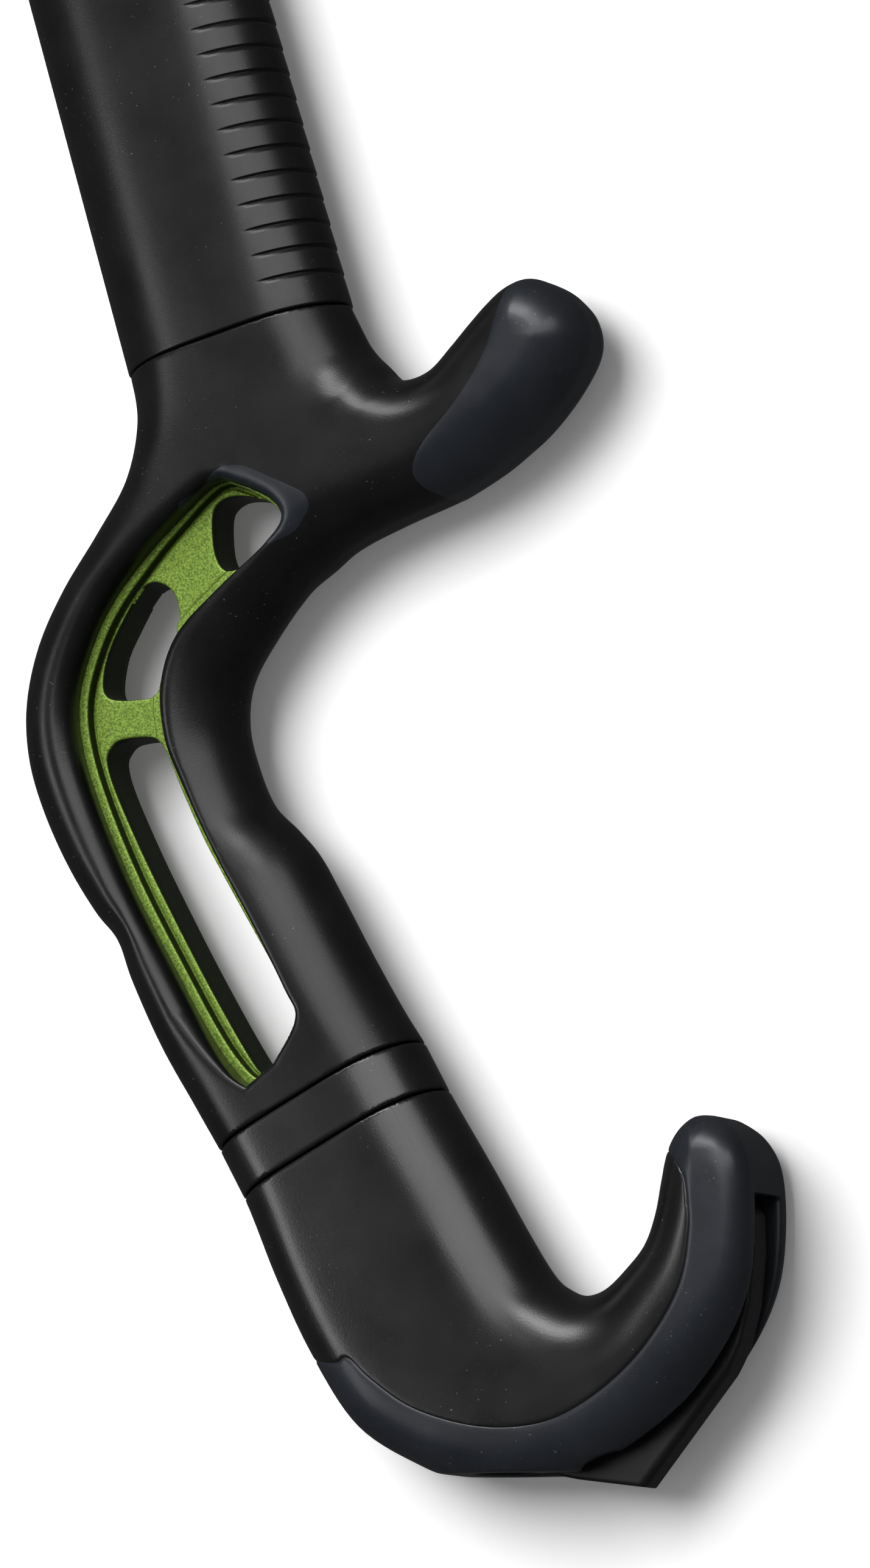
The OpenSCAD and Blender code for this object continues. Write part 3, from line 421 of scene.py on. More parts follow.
def anodised(name, dark, light, painted_wall_shade, rough, metallic):
    """Bead-blasted anodised alloy with a fine sparkle; the walls across the plate get a darker colour,
    which is painted shade.
    """
    paint = Paint(name)
    blast = paint.noise(BLASTING, 2.0, 0.7)
    sheen = paint.span(blast, 0.3, 0.7, rough - 0.08, rough + 0.08)
    colour = paint.mix(paint.span(paint.noise(SPARKLE, 2.0), 0.35, 0.65), dark, light)
    # Painted shade: faces that stand across the plate, such as the window walls, take the darker wall
    # colour
    facing = paint.add("ShaderNodeSeparateXYZ", {"Vector": paint.coords["Normal"]}).outputs["Z"]
    colour = paint.mix(paint.span(paint.math("ABSOLUTE", facing), 0.2, 0.5), painted_wall_shade, colour)
    relief = paint.bump(blast, 0.05, 1.0)
    return paint.finish(Base_Color=colour, Metallic=metallic, Roughness=sheen, Normal=relief)


def steel(name, dark, light, rough, metallic, grain):
    """Coated, plated or ground metal, a little clouded, with a fine grain."""
    paint = Paint(name)
    fine = paint.noise(grain, 3.0, 0.6)
    sheen = paint.span(fine, 0.3, 0.7, rough - 0.07, rough + 0.07)
    colour = paint.mix(paint.span(paint.noise(CLOUD, 4.0), 0.3, 0.7), dark, light)
    relief = paint.bump(fine, 0.03, 0.6)
    return paint.finish(Base_Color=colour, Metallic=metallic, Roughness=sheen, Normal=relief)


# The rubber of shaft and handle is dull, that of spacer and pommel is worn smooth
RUBBER = rgb(0.0045, 0.0045, 0.0048), rgb(0.0065, 0.0065, 0.007), rgb(0.08, 0.08, 0.08)
GRIP_RUBBER = moulded("grip_rubber", *RUBBER, rough=0.32, shine=0.33, grain=0.28, depth=0.016)
WORN_RUBBER = moulded("worn_rubber", *RUBBER, rough=0.29, shine=0.5, grain=0.28, depth=0.016)
GREY_PLASTIC = moulded(
    "grey_plastic", rgb(0.011, 0.013, 0.0172), rgb(0.0158, 0.0182, 0.0235), rgb(0.1, 0.11, 0.12),
    rough=0.34, shine=0.36, grain=0.2, depth=0.012)
# Its third colour is painted shade for the walls across the plate
GREEN_ALLOY = anodised(
    "green_alloy", rgb(0.075, 0.13, 0.012), rgb(0.215, 0.335, 0.046), rgb(0.03, 0.042, 0.014),
    rough=0.45, metallic=0.5)
SHAFT_ALLOY = steel(
    "shaft_alloy", rgb(0.04, 0.04, 0.044), rgb(0.06, 0.06, 0.065), rough=0.4, metallic=0.6, grain=0.4)
SPIKE_STEEL = steel(
    "spike_steel", rgb(0.003, 0.003, 0.003), rgb(0.005, 0.005, 0.005), rough=0.4, metallic=0.0, grain=0.4)
HEAD_STEEL = steel(
    "head_steel", rgb(0.04, 0.042, 0.046), rgb(0.065, 0.067, 0.072), rough=0.42, metallic=0.5, grain=0.5)
PICK_STEEL = steel(
    "pick_steel", rgb(0.24, 0.25, 0.26), rgb(0.36, 0.37, 0.38), rough=0.35, metallic=1.0, grain=0.4)
FASTENER_STEEL = steel(
    "fastener_steel", rgb(0.34, 0.34, 0.35), rgb(0.46, 0.46, 0.47), rough=0.3, metallic=1.0, grain=0.3)
INSERT_BRASS = steel(
    "insert_brass", rgb(0.5, 0.36, 0.13), rgb(0.68, 0.52, 0.22), rough=0.3, metallic=1.0, grain=0.3)


# Shaft and sleeve

# Half height of the flat that is left at the tube's edges
EDGE_FLAT = 0.4
# An eighth of the points in each section, and rings along the bend
SLEEVE_POINTS, SHAFT_POINTS, BEND_RINGS = 24, 16, 60


def section(left, right, half_t, palm_r, finger_r, count):
    """Rounded section: offsets across and up, with evenly spread points."""
    corners = [(left + palm_r, -half_t + palm_r, palm_r), (right - finger_r, -half_t + finger_r, finger_r),
               (right - finger_r, half_t - finger_r, finger_r), (left + palm_r, half_t - palm_r, palm_r)]
    points = []
    for (x, y, r), start in zip(corners, (180, 270, 0, 90)):
        for k in range(count + 1):
            g = math.radians(start + 90 * k / count)
            points.append((x + r * math.cos(g), y + r * math.sin(g)))
    path = np.array(points + points[:1])
    way = np.concatenate([[0], np.cumsum(np.hypot(*np.diff(path, axis=0).T))])
    even = np.linspace(0, way[-1], 8 * count + 1)[:-1]
    return np.stack([np.interp(even, way, path[:, 0]), np.interp(even, way, path[:, 1])], 1)


def blended(shape, reach):
    """Section with its turns spread out, at the same width and thickness."""
    step = np.linalg.norm(shape[1] - shape[0])
    turn = np.fft.fftfreq(len(shape), step)
    soft = np.exp(-2 * (math.pi * turn * reach) ** 2)[:, None]
    smooth = np.fft.ifft(np.fft.fft(shape, axis=0) * soft, axis=0).real
    low, high = smooth.min(0), smooth.max(0)
    share = (smooth - low) / (high - low)
    return shape.min(0) + share * (shape.max(0) - shape.min(0))


def oval(width, thick, count):
    """Section of the tube, with edges almost round."""
    r = thick / 2 - EDGE_FLAT
    return section(-width / 2, width / 2, thick / 2, r, r, count)


def ring(middle, across, shape):
    """Section set across the drawing plane."""
    flat = middle + shape[:, :1] * across
    return np.column_stack([flat, shape[:, 1]])


RIB_PITCH, RIB_DEPTH, RIB_START, RIB_END = 4.12, 0.5, 5.6, 2.0
# Where the ribs begin across the sleeve, and over what width they come up
RIB_FROM, RIB_FADE = 8.0, 2.6
# Under each rib the rubber steps in, comes most of the way back out, and then swells slowly
RIB_STOPS = (0, 0.15, 0.4, 0.85, RIB_PITCH)
RIB_SHARES = (0, 1, 0.62, 0.26, 0)
SLEEVE_CROWN = 0.12
# How far the corners of the sleeve's section are blended, in mm
SLEEVE_BLEND = 3.0
# Rounding of its ends, and distance between its rings
END_R, RING_STEP = 0.3, 0.125


def rib_dip(height):
    """How far the finger side is drawn in at a height."""
    if not RIB_START - RIB_PITCH <= height <= SLEEVE_LEN - RIB_END:
        return 0.0
    below = (RIB_START - height) % RIB_PITCH
    return RIB_DEPTH * np.interp(below, RIB_STOPS, RIB_SHARES)


def sleeve():
    """Rubber sleeve with ribs on the finger side."""
    outer = section(-SLEEVE_W / 2 - PALM_SWELL, SLEEVE_W / 2, SLEEVE_T / 2, TOP_R, FINGER_R, SLEEVE_POINTS)
    outer = blended(outer, SLEEVE_BLEND)
    # The two faces are crowned a little
    outer[:, 1] *= 1 - SLEEVE_CROWN * (outer[:, 0] / SLEEVE_W * 2) ** 2
    inner = oval(SHAFT_W + 2 * FIT, SHAFT_T + 2 * FIT, SLEEVE_POINTS)
    # Ribs come up towards the finger edge
    share = np.clip((outer[:, :1] - RIB_FROM) / RIB_FADE, 0, 1)
    share = share * share * (3 - 2 * share)
    ahead, behind = np.roll(outer, -1, 0), np.roll(outer, 1, 0)
    tangent = (ahead - behind) / np.linalg.norm(ahead - behind, axis=1)[:, None]
    inward = np.column_stack([-tangent[:, 1], tangent[:, 0]])
    heights = np.arange(FIT, SLEEVE_LEN, RING_STEP)
    rings = []
    for h in heights:
        end = min(h - FIT, SLEEVE_LEN - h)
        edge = END_R - math.sqrt(max(END_R ** 2 - max(END_R - end, 0) ** 2, 0))
        shape = outer + inward * (rib_dip(h) * share + edge)
        rings.append(ring(GRIP_TOP + h * UP_SHAFT, ACROSS_SHAFT, shape))
    top, low = heights[-1], heights[0]
    rings.append(ring(GRIP_TOP + top * UP_SHAFT, ACROSS_SHAFT, inner))
    rings.append(ring(GRIP_TOP + low * UP_SHAFT, ACROSS_SHAFT, inner))
    return sweep(rings)


def shaft():
    """Bent tube from inside the handle up into the head."""
    shape = oval(SHAFT_W, SHAFT_T, SHAFT_POINTS)
    bore = oval(SHAFT_W - 2 * SHAFT_WALL, SHAFT_T - 2 * SHAFT_WALL, SHAFT_POINTS)
    path = [(GRIP_TOP - TUBE_LAP * UP_SHAFT, ACROSS_SHAFT)]
    for g in np.linspace(SHAFT_TILT, HEAD_TILT, BEND_RINGS):
        path.append((BEND_CENTRE - BEND_R * turned(g), turned(g)))
    path.append((SHAFT_END, ACROSS_HEAD))
    rings = [ring(m, a, shape) for m, a in path] + [ring(m, a, bore) for m, a in reversed(path)]
    return sweep(rings)


piece("shaft", [shaft()], SHAFT_ALLOY)
piece("shaft_grip", [sleeve()], GRIP_RUBBER)


# Handle grip, cap and liner

# Cell of the grids for handle, spacer and pommel
GRIP_CELL = 0.35
# How far an outline runs on past the end of its piece before it is cut off
RUN_ON = 14
# Fillet of the finger rest, and over what width its rounding passes into that of the handle
REST_FILLET, REST_BLEND = 4.0, 12
# Softness of the edges at the handle's top, at the other ends and along the opening
TOP_SOFT, END_SOFT, LIP_SOFT = 0.35, 0.3, 0.8
OPENING = np.vstack([spline(OPENING_PALM, 6), spline(OPENING_FINGER, 6)[::-1]])
# Rounding of the opening's lip: on the palm side, and at the foot and head of the finger side.
# Then the heights at which it changes: on the finger side, and on the palm side
LIP_PALM, LIP_FOOT, LIP_HEAD = 4.5, 0.8, 2.4
LIP_FROM, LIP_TO = -12, 0
LIP_HEIGHTS = (-46, -34, 30, 47)
# How much lower the faces are at their edges, and how fast that fades inwards; more so under the sleeve
CROWN, CROWN_FADE = 0.9, 5.0
TOP_CROWN, TOP_FADE = 1.7, 8.0
TOP_FROM, TOP_TO = 42, 66


def crowned(plan, top=0.0):
    """Half thickness of a body whose faces bulge a little, or more at the top of the handle."""
    low = CROWN * np.exp(np.minimum(plan, 0) / CROWN_FADE)
    high = TOP_CROWN * np.exp(np.minimum(plan, 0) / TOP_FADE)
    return BODY_HALF - low - (high - low) * top


def handle_form(grid):
    """Field of the whole grip with its finger rest and opening, before it is split into pieces."""
    rows = spline(np.column_stack([HANDLE_ROWS, PALM_RADII]), 8)
    above, below = RUN_ON * UP_SHAFT, RUN_ON * DOWN_HANDLE
    palm = np.vstack([rows[0, :2] + above, rows[:, :2], rows[-1, :2] + below])
    finger = np.vstack([rows[0, 2:4] + above, rows[:, 2:4], rows[-1, 2:4] + below])
    radii = [TOP_R, *rows[:, 4], PALM_R] + [FINGER_R] * len(finger)
    body, body_r = grid.plan(np.vstack([palm, finger[::-1]]), radii)
    body_r = softened(body_r, grid.cell, RADIUS_BLUR)
    rest = grid.plan(spline(REST_UNDER + REST_TIP + REST_VALLEY, 8))
    both = join(body, rest, REST_FILLET)
    share = np.clip(0.5 + (rest - body) / REST_BLEND, 0, 1)
    radius = REST_R + (body_r - REST_R) * share
    top = np.clip((grid.along((0, 0), UP_SHAFT) - TOP_FROM) / (TOP_TO - TOP_FROM), 0, 1) * share
    half = crowned(both, top * top * (3 - 2 * top))
    hole, lip = grid.plan(OPENING, lip_radii())
    solid = meet(plate(both, grid.z, half, radius), plate(-hole, grid.z, half, lip), LIP_SOFT)
    solid = meet(solid, grid.along(GRIP_TOP, UP_SHAFT), TOP_SOFT)
    return meet(solid, grid.along(GRIP_END, DOWN_HANDLE), END_SOFT)


def lip_radii():
    """Rounding of the lip at each point of the opening."""
    lips = np.interp(OPENING[:, 1], [LIP_FROM, LIP_TO], [LIP_FOOT, LIP_HEAD])
    palm_side = slice(0, len(OPENING) // 2)
    turns = [LIP_FOOT, LIP_PALM, LIP_PALM, LIP_HEAD]
    lips[palm_side] = np.interp(OPENING[palm_side, 1], LIP_HEIGHTS, turns)
    return lips


# A hard piece dips slowly under the rubber at its border; the rubber runs on a little way below it
UNDER, RISE, DIP_RUN = 0.9, 0.05, 0.6
FLUSH, GROOVED = 0.1, 0.5
# The liner reaches down to this distance from the swing plane
LINER_FLOOR = 6.9


def inlaid(form, border, dip):
    """Hard piece that lies in the rubber inside a border and dips at a slope at its edge."""
    return np.maximum(form + np.clip(dip * border, -RISE, dip * DIP_RUN), border - DIP_RUN)


def handle_pieces():
    """Rubber of the grip, and the grey liner and cap that lie in it."""
    grid = Grid((-68, -68, -12.6), (30, 82, 12.6), GRIP_CELL)
    form = handle_form(grid)
    liner = grid.plan(spline(LINER, 6, closed=True))
    cap = grid.plan(np.vstack([spline(CAP, 6), CAP_CLOSE]))
    rubber = np.maximum(form, -UNDER - np.minimum(liner, cap))
    piece("handle_grip", [skin(grid, rubber)], GRIP_RUBBER)
    inlay = np.maximum(inlaid(form, liner, FLUSH), LINER_FLOOR - np.abs(grid.z))
    piece("grip_liner", [skin(grid, inlay)], GREY_PLASTIC)
    piece("upper_rest_cap", [skin(grid, inlaid(form, cap, FLUSH))], GREY_PLASTIC)


handle_pieces()


# Green frame with its rim, groove, web, windows and tenon

# Half thickness of rim, web and floor
RIM_HALF, WEB_HALF, FLOOR_HALF = 5.7, 4.5, 3.3
# Width of rim and groove, how far the frame laps under the grip all round and further on the finger
# side, and how much wider the rim is there
RIM_W, GROOVE_W, FRAME_LAP, FINGER_LAP, RIM_FINGER = 1.35, 0.6, 2.5, 2.5, 1.5
# The panel inside the rim reaches a little higher than the opening
PANEL_RISE, RISE_FROM, RISE_TO = 1.0, 34, 44
TENON_W, TENON_T, TENON_LEN = 16, 12.5, 32
# Rounding of rim, web, floor and tenon, and softness where they meet each other or a bore
RIM_EDGE, WEB_EDGE, FLOOR_EDGE, TENON_EDGE, FRAME_SOFT = 0.35, 0.3, 0.2, 0.6, 0.3
# From GRIP_END: how far the tenon reaches up into the grip, and how far down its bore starts
TENON_ROOT, BORE_FROM = 2, 6
# Bores for the pommel bolt and for its insert
BOLT_R, INSERT_R, INSERT_LEN = 3.3, 4.45, 14


def wider_opening(reach):
    """Opening with its finger side moved out."""
    palm, finger = spline(OPENING_PALM, 6), spline(OPENING_FINGER, 6)
    way = (finger - palm) / np.linalg.norm(finger - palm, axis=1)[:, None]
    return np.vstack([palm, (finger + reach * way)[::-1]])


def raised(border):
    """Border of the panel with its top moved up."""
    share = np.clip((border[:, 1] - RISE_FROM) / (RISE_TO - RISE_FROM), 0, 1)
    return np.column_stack([border[:, 0], border[:, 1] + PANEL_RISE * share])


def frame_plate():
    """Plate of the frame: rim, floor of the groove, and web with its windows."""
    grid = Grid((-62, -52, -7.6), (-12, 54, 7.6), 0.2)
    outside = grid.plan(wider_opening(FINGER_LAP)) - FRAME_LAP
    panel = grid.plan(raised(wider_opening(-RIM_FINGER)))
    windows = np.minimum.reduce([grid.plan(spline(w, 6, closed=True)) for w in WINDOWS])
    rim = plate(np.maximum(outside, -panel - RIM_W), grid.z, RIM_HALF, RIM_EDGE)
    rim = np.maximum(rim, -windows)
    # There is a groove on the palm side only
    web = grid.plan(raised(wider_opening(GROOVE_W - RIM_FINGER))) + RIM_W + GROOVE_W
    web = plate(np.maximum(web, -windows), grid.z, WEB_HALF, WEB_EDGE)
    floor = plate(np.maximum(outside, -windows), grid.z, FLOOR_HALF, FLOOR_EDGE)
    return skin(grid, np.minimum(join(rim, floor, FRAME_SOFT), join(web, floor, FRAME_SOFT)))


def tenon():
    """Tenon that runs down through the spacer, bored for bolt and insert."""
    grid = Grid((-9, -4, -7), (9, 42, 7), 0.3)
    end = SPACER_T + TENON_LEN
    length = np.abs(grid.y - (end - TENON_ROOT) / 2) - (end + TENON_ROOT) / 2
    field = plate(np.maximum(np.abs(grid.x) - TENON_W / 2, length), grid.z, TENON_T / 2, TENON_EDGE)
    bore = np.where(grid.y > end - INSERT_LEN, INSERT_R, BOLT_R) - np.hypot(grid.x, grid.z)
    return skin(grid, meet(field, np.maximum(bore, BORE_FROM - grid.y), FRAME_SOFT), in_handle)


piece("handle_frame", [frame_plate(), tenon()], GREEN_ALLOY)


# Spacer

def spacer():
    """Band with the tenon's hole in it."""
    grid = Grid((-19, -0.5, -12.6), (19, 9.5, 12.6), GRIP_CELL)
    # Its rounding passes from that of the palm side to that of the finger side, as on the handle
    radius = PALM_R + (FINGER_R - PALM_R) * np.clip(0.5 + grid.x / (4 * RADIUS_BLUR), 0, 1)
    side = np.abs(grid.x) - NECK_HALF
    field = plate(side, grid.z, crowned(side), radius)
    ends = np.abs(grid.y - (SPACER_T + RUN) / 2) - (SPACER_T - RUN) / 2
    field = meet(field, ends, END_SOFT)
    hole = np.maximum(np.abs(grid.x) - TENON_W / 2 - RUN, np.abs(grid.z) - TENON_T / 2 - RUN)
    return skin(grid, np.maximum(field, -hole), in_handle)


piece("spacer", [spacer()], WORN_RUBBER, "spacer")


# Pommel: rubber, grey core with its shell, and the spike

# Block of the core round the tenon
CORE_HALF_W, CORE_HALF_T = 11.9, 9.25
# Down from POMMEL_TOP, end of the socket and top of the spike's boss; radius of the boss and its bore
SOCKET_END, BOSS_TOP, BOSS_R, BOSS_BORE = 33.5, 42.5, 7.5, 6.1
# Thickness of shell over the end of the spike's boss
FACET_COVER = 1.5
# Flat facet at the bottom of the hook, from POMMEL_TOP
FACET_DROP, FACET_X, FACET_HALF = 50.8, 26.5, 13
SPIKE_HALF, SLOT_GAP, BACK_SLOT_HALF = 3.0, 0.5, 5.4
SPIKE_BEVEL, SPIKE_EDGE = 0.7, 0.5
# Height of the boss's floor, which the washer sits on
BOSS_FLOOR = 4
# Gap along the shell's border, and rounding of the rubber's edge there
SEAM_GAP, SEAM_R = 0.1, 0.6
# Softness of the edges of slot and facet, of the spike's edges and of the fillet at its boss
SLOT_SOFT, FACET_SOFT, SPIKE_SOFT, BOSS_SOFT = 0.5, 0.4, 0.3, 0.8


def from_top(points):
    """Points that are given from POMMEL_TOP."""
    return [POMMEL_TOP + np.array(p) for p in points]


# Rounding along the hook's outline: outer side, back (fuller low down, where the spike stands out), tip,
# inside of the hook
HOOK_RADII = ([PALM_R] * 10 + [7.0, 8.0, 6.0, 4.5, 3.5, 3.5] + [5.0, 6.5, 7.5, 8.0]
              + [8.5] * 4 + [8.8, 9.5] + [FINGER_R] * 8)


def hook_form(grid):
    """Field of the whole hook."""
    first = POMMEL_TOP - RUN_ON * DOWN_HANDLE
    across = NECK_HALF * ACROSS_HANDLE
    outer = [first - across, POMMEL_TOP - across] + from_top(HOOK_OUTER)
    inner = from_top(HOOK_INNER) + [POMMEL_TOP + across, first + across]
    points = outer + from_top(HOOK_TIP) + inner
    rows = spline(np.column_stack([points, HOOK_RADII]), 8)
    plan, radius = grid.plan(rows[:, :2], rows[:, 2])
    form = plate(plan, grid.z, crowned(plan), softened(radius, grid.cell, RADIUS_BLUR))
    return meet(form, RUN - grid.along(POMMEL_TOP, DOWN_HANDLE), END_SOFT)


def facet(grid):
    """What is cut off flat at the bottom of the hook, round the bolt's hole."""
    width = np.abs(grid.x - POMMEL_TOP[0] - FACET_X) - FACET_HALF
    return np.maximum(width, grid.y - POMMEL_TOP[1] + FACET_DROP)


def spike_slot(grid):
    """Slot that the spike sits in."""
    outline = grid.plan(np.array(from_top(SPIKE_INNER + SLOT_OUTSIDE))) - SLOT_GAP
    return np.maximum(outline, np.abs(grid.z) - SPIKE_HALF - SLOT_GAP)


def wide_slot(grid):
    """Wide part of the slot along the hook's back, with the notch at its lower end."""
    back = np.maximum(grid.plan(np.array(from_top(BACK_SLOT))), np.abs(grid.z) - BACK_SLOT_HALF)
    return np.minimum(back, grid.plan(spline(from_top(NOTCH), 6, closed=True)))


def bolt_way(grid):
    """Socket for the tenon, bores for the bolt and room for the spike's boss."""
    across, down = grid.along(POMMEL_TOP, ACROSS_HANDLE), grid.along(POMMEL_TOP, DOWN_HANDLE)
    around = np.hypot(across, grid.z)
    wide, thick = TENON_W / 2 + RUN, TENON_T / 2 + RUN
    socket = shared(np.abs(across) - wide, np.abs(grid.z) - thick, down - SOCKET_END)
    boss_end = FACET_COVER - FACET_DROP + POMMEL_TOP[1] - grid.y
    boss = shared(around - BOSS_R - FIT, BOSS_TOP - down, boss_end)
    access = np.maximum(around - BOSS_BORE, BOSS_TOP - down)
    return united(socket, around - BOLT_R, access, boss)


def pommel_pieces():
    """Grey core with its shell, and the rubber round it."""
    grid = Grid((-36, -110, -12.6), (60, -42, 12.6), GRIP_CELL)
    form = hook_form(grid)
    shell = grid.plan(np.vstack([spline(from_top(SHELL), 6), from_top(SHELL_CLOSE)]))
    across = grid.along(POMMEL_TOP, ACROSS_HANDLE)
    block = np.maximum(np.abs(across) - CORE_HALF_W, np.abs(grid.z) - CORE_HALF_T)
    core = inlaid(form, np.minimum(shell, block), GROOVED)
    core = meet(np.maximum(core, -spike_slot(grid)), -wide_slot(grid), SLOT_SOFT)
    core = meet(core, -facet(grid), FACET_SOFT)
    core = np.maximum(core, -bolt_way(grid))
    piece("pommel_core", [skin(grid, core)], GREY_PLASTIC, "pommel")
    rubber = np.maximum(meet(form, SEAM_GAP - shell, SEAM_R), FIT - block)
    piece("pommel_grip", [skin(grid, rubber)], WORN_RUBBER, "pommel")


pommel_pieces()


def spike():
    """Blade with its working edge ground on both sides, and the boss that the bolt passes through."""
    grid = Grid((-4, -112, -8), (58, -62, 8), 0.25)
    outline = from_top([SPIKE_TIP, SPIKE_SHOULDER] + SPIKE_OUTER + SPIKE_INNER + SPIKE_LOWER)
    field = plate(grid.plan(np.array(outline)), grid.z, SPIKE_HALF, SPIKE_EDGE)
    tip, shoulder = from_top([SPIKE_TIP, SPIKE_SHOULDER])
    way = (shoulder - tip) / np.linalg.norm(shoulder - tip)
    inside = grid.along(tip, (-way[1], way[0]))
    bevel = (np.abs(grid.z) - SPIKE_HALF + SPIKE_BEVEL - inside) / math.sqrt(2)
    field = meet(field, bevel, SPIKE_SOFT)
    across, down = grid.along(POMMEL_TOP, ACROSS_HANDLE), grid.along(POMMEL_TOP, DOWN_HANDLE)
    around = np.hypot(across, grid.z)
    boss_end = POMMEL_TOP[1] - FACET_DROP + FACET_COVER + FIT - grid.y
    field = join(field, shared(around - BOSS_R, BOSS_TOP + FIT - down, boss_end), BOSS_SOFT)
    bores = np.minimum(around - BOLT_R, np.maximum(around - BOSS_BORE, BOSS_TOP + BOSS_FLOOR - down))
    return skin(grid, meet(field, -bores, SPIKE_SOFT))


piece("spike", [spike()], SPIKE_STEEL, "pommel")


# Head, pick and hammer

HEAD = [(-15, -4), (15, -4), (17.5, 6), (26, 11), (33, 17), (34, 25), (27, 30.5), (10, 33), (-12, 33),
        (-25, 30.5), (-31, 24), (-28, 15), (-17.5, 6)]
PICK_BOLTS, PICK_BOLT_R = [(4, 21.5), (24, 21.5)], 4.15
# Clip hole, in the head and a little wider in the pick
CLIP, CLIP_R, CLIP_PICK_R = (-18, 21.5), 5, 5.5
PICK_BACK = [(-46, 16), (-46, 27.5)]
PICK_UPPER = [(-34, 28.5), (10, 29.5), (36, 29), (62, 26.5), (90, 20.5), (116, 11), (138, 0), (153, -11)]
PICK_LOWER = [(149, -11), (128, -1.5), (106, 5.5), (80, 10.5), (56, 13), (38, 14)]
PICK_HEEL = (30, 12.5)
PICK_HALF, TEETH, TOOTH_D, TOOTH_RISE = 2.0, 13, 2.4, 0.3
# Half thickness of the pick's edge, how steeply it is ground, and what that slope stretches a field by
EDGE_HALF, EDGE_SLOPE, SLOPE_STRETCH = 0.7, 0.5, 1.12
SLOT_FLOOR = 11
HAMMER_BOLT, HAMMER_BOLT_R = (-40.5, 21.5), 2.65
# Hammer: half size and middle of its neck, radius, half length and middle of its drum, and then
# the end of its slot, rounding and fillet
HAMMER_NECK, NECK_X = 7, -42
DRUM_R, DRUM_HALF, DRUM_X = 10, 9, -58
HAMMER_SLOT, HAMMER_EDGE, HAMMER_FILLET = -46.5, 1.2, 2.0
# Rounding of head and pick
HEAD_EDGE, PICK_EDGE = 2.2, 0.4
# Softness of the head's foot, of its slot and its bores, of the hammer's slot and of thin edges
FOOT_SOFT, CHEEK_SOFT, BORE_SOFT, FORK_SOFT, THIN_SOFT = 0.6, 0.5, 0.8, 0.4, 0.3


def holes(grid, places, radius):
    """Round holes at places of the head."""
    return np.minimum.reduce([np.hypot(grid.x - x, grid.y - y) - radius for x, y in places])


def head():
    """Two cheeks with a slot for the pick between them."""
    grid = Grid((-34, -0.6, -9.6), (37, 36, 9.6), 0.3)
    field = plate(grid.plan(spline(HEAD, 6, closed=True)), grid.z, SHAFT_T / 2, HEAD_EDGE)
    field = meet(field, FIT - grid.y, FOOT_SOFT)
    slot = np.maximum(SLOT_FLOOR - grid.y, np.abs(grid.z) - PICK_HALF - FIT)
    field = meet(field, -slot, CHEEK_SOFT)
    bores = np.minimum(holes(grid, PICK_BOLTS, PICK_BOLT_R), holes(grid, [CLIP], CLIP_R))
    return skin(grid, meet(field, -bores, BORE_SOFT), in_head)


def pick_outline():
    """Outline of the pick with its row of teeth."""
    lower = spline(PICK_LOWER, 6)
    steps = np.arange(len(lower))

    def along(t):
        at = t * (len(lower) - 1)
        return np.array([np.interp(at, steps, lower[:, 0]), np.interp(at, steps, lower[:, 1])])

    teeth = []
    for i in range(TEETH):
        teeth += [along(i / TEETH) - (0, TOOTH_D / 2), along((i + TOOTH_RISE) / TEETH) + (0, TOOTH_D / 2)]
    return np.vstack([PICK_BACK, spline(PICK_UPPER, 6), teeth, [PICK_LOWER[-1], PICK_HEEL]])


def pick():
    """Toothed blade, ground thinner towards its edges."""
    grid = Grid((-48, -15, -2.6), (155, 32, 2.6), 0.25)
    plan = grid.plan(pick_outline())
    ground = (np.abs(grid.z) - EDGE_HALF + plan * EDGE_SLOPE) / SLOPE_STRETCH
    field = meet(plate(plan, grid.z, PICK_HALF, PICK_EDGE), ground, THIN_SOFT)
    bores = np.minimum(holes(grid, PICK_BOLTS, PICK_BOLT_R), holes(grid, [CLIP], CLIP_PICK_R))
    bores = np.minimum(bores, holes(grid, [HAMMER_BOLT], HAMMER_BOLT_R))
    return skin(grid, meet(field, -bores, THIN_SOFT), in_head)


def hammer():
    """Drum on a forked neck that grips the back of the pick."""
    grid = Grid((-69, 10, -11), (-34, 33, 11), 0.3)
    off = grid.y - HAMMER_BOLT[1]
    neck = np.maximum(np.abs(off) - HAMMER_NECK, np.abs(grid.x - NECK_X) - HAMMER_NECK)
    neck = plate(neck, grid.z, HAMMER_NECK, HAMMER_EDGE)
    drum = plate(np.hypot(off, grid.z) - DRUM_R, grid.x - DRUM_X, DRUM_HALF, HAMMER_EDGE)
    slot = np.maximum(HAMMER_SLOT - grid.x, np.abs(grid.z) - PICK_HALF - FIT)
    field = meet(join(neck, drum, HAMMER_FILLET), -slot, FORK_SOFT)
    return skin(grid, meet(field, -holes(grid, [HAMMER_BOLT], HAMMER_BOLT_R), THIN_SOFT), in_head)


piece("head", [head()], HEAD_STEEL)
piece("pick", [pick()], PICK_STEEL)
piece("hammer", [hammer()], HEAD_STEEL)

# Fasteners: node, rounding of its edges in mm, body
FASTENERS = [
    ("frame_rivets", 0.3, "handle"), ("thread_insert", 0.2, "handle"), ("head_rivets", 0.4, "handle"),
    ("pick_bolts", 0.4, "handle"), ("pick_nuts", 0.4, "handle"), ("hammer_bolt", 0.4, "handle"),
    ("hammer_nut", 0.4, "handle"), ("pommel_bolt", 0.4, "pommel_bolt"),
    ("pommel_washer", 0.2, "pommel")]
for node, width, body in FASTENERS:
    finish = INSERT_BRASS if node == "thread_insert" else FASTENER_STEEL
    rounded_copy(node, width, finish, body)


# Camera, floor and light

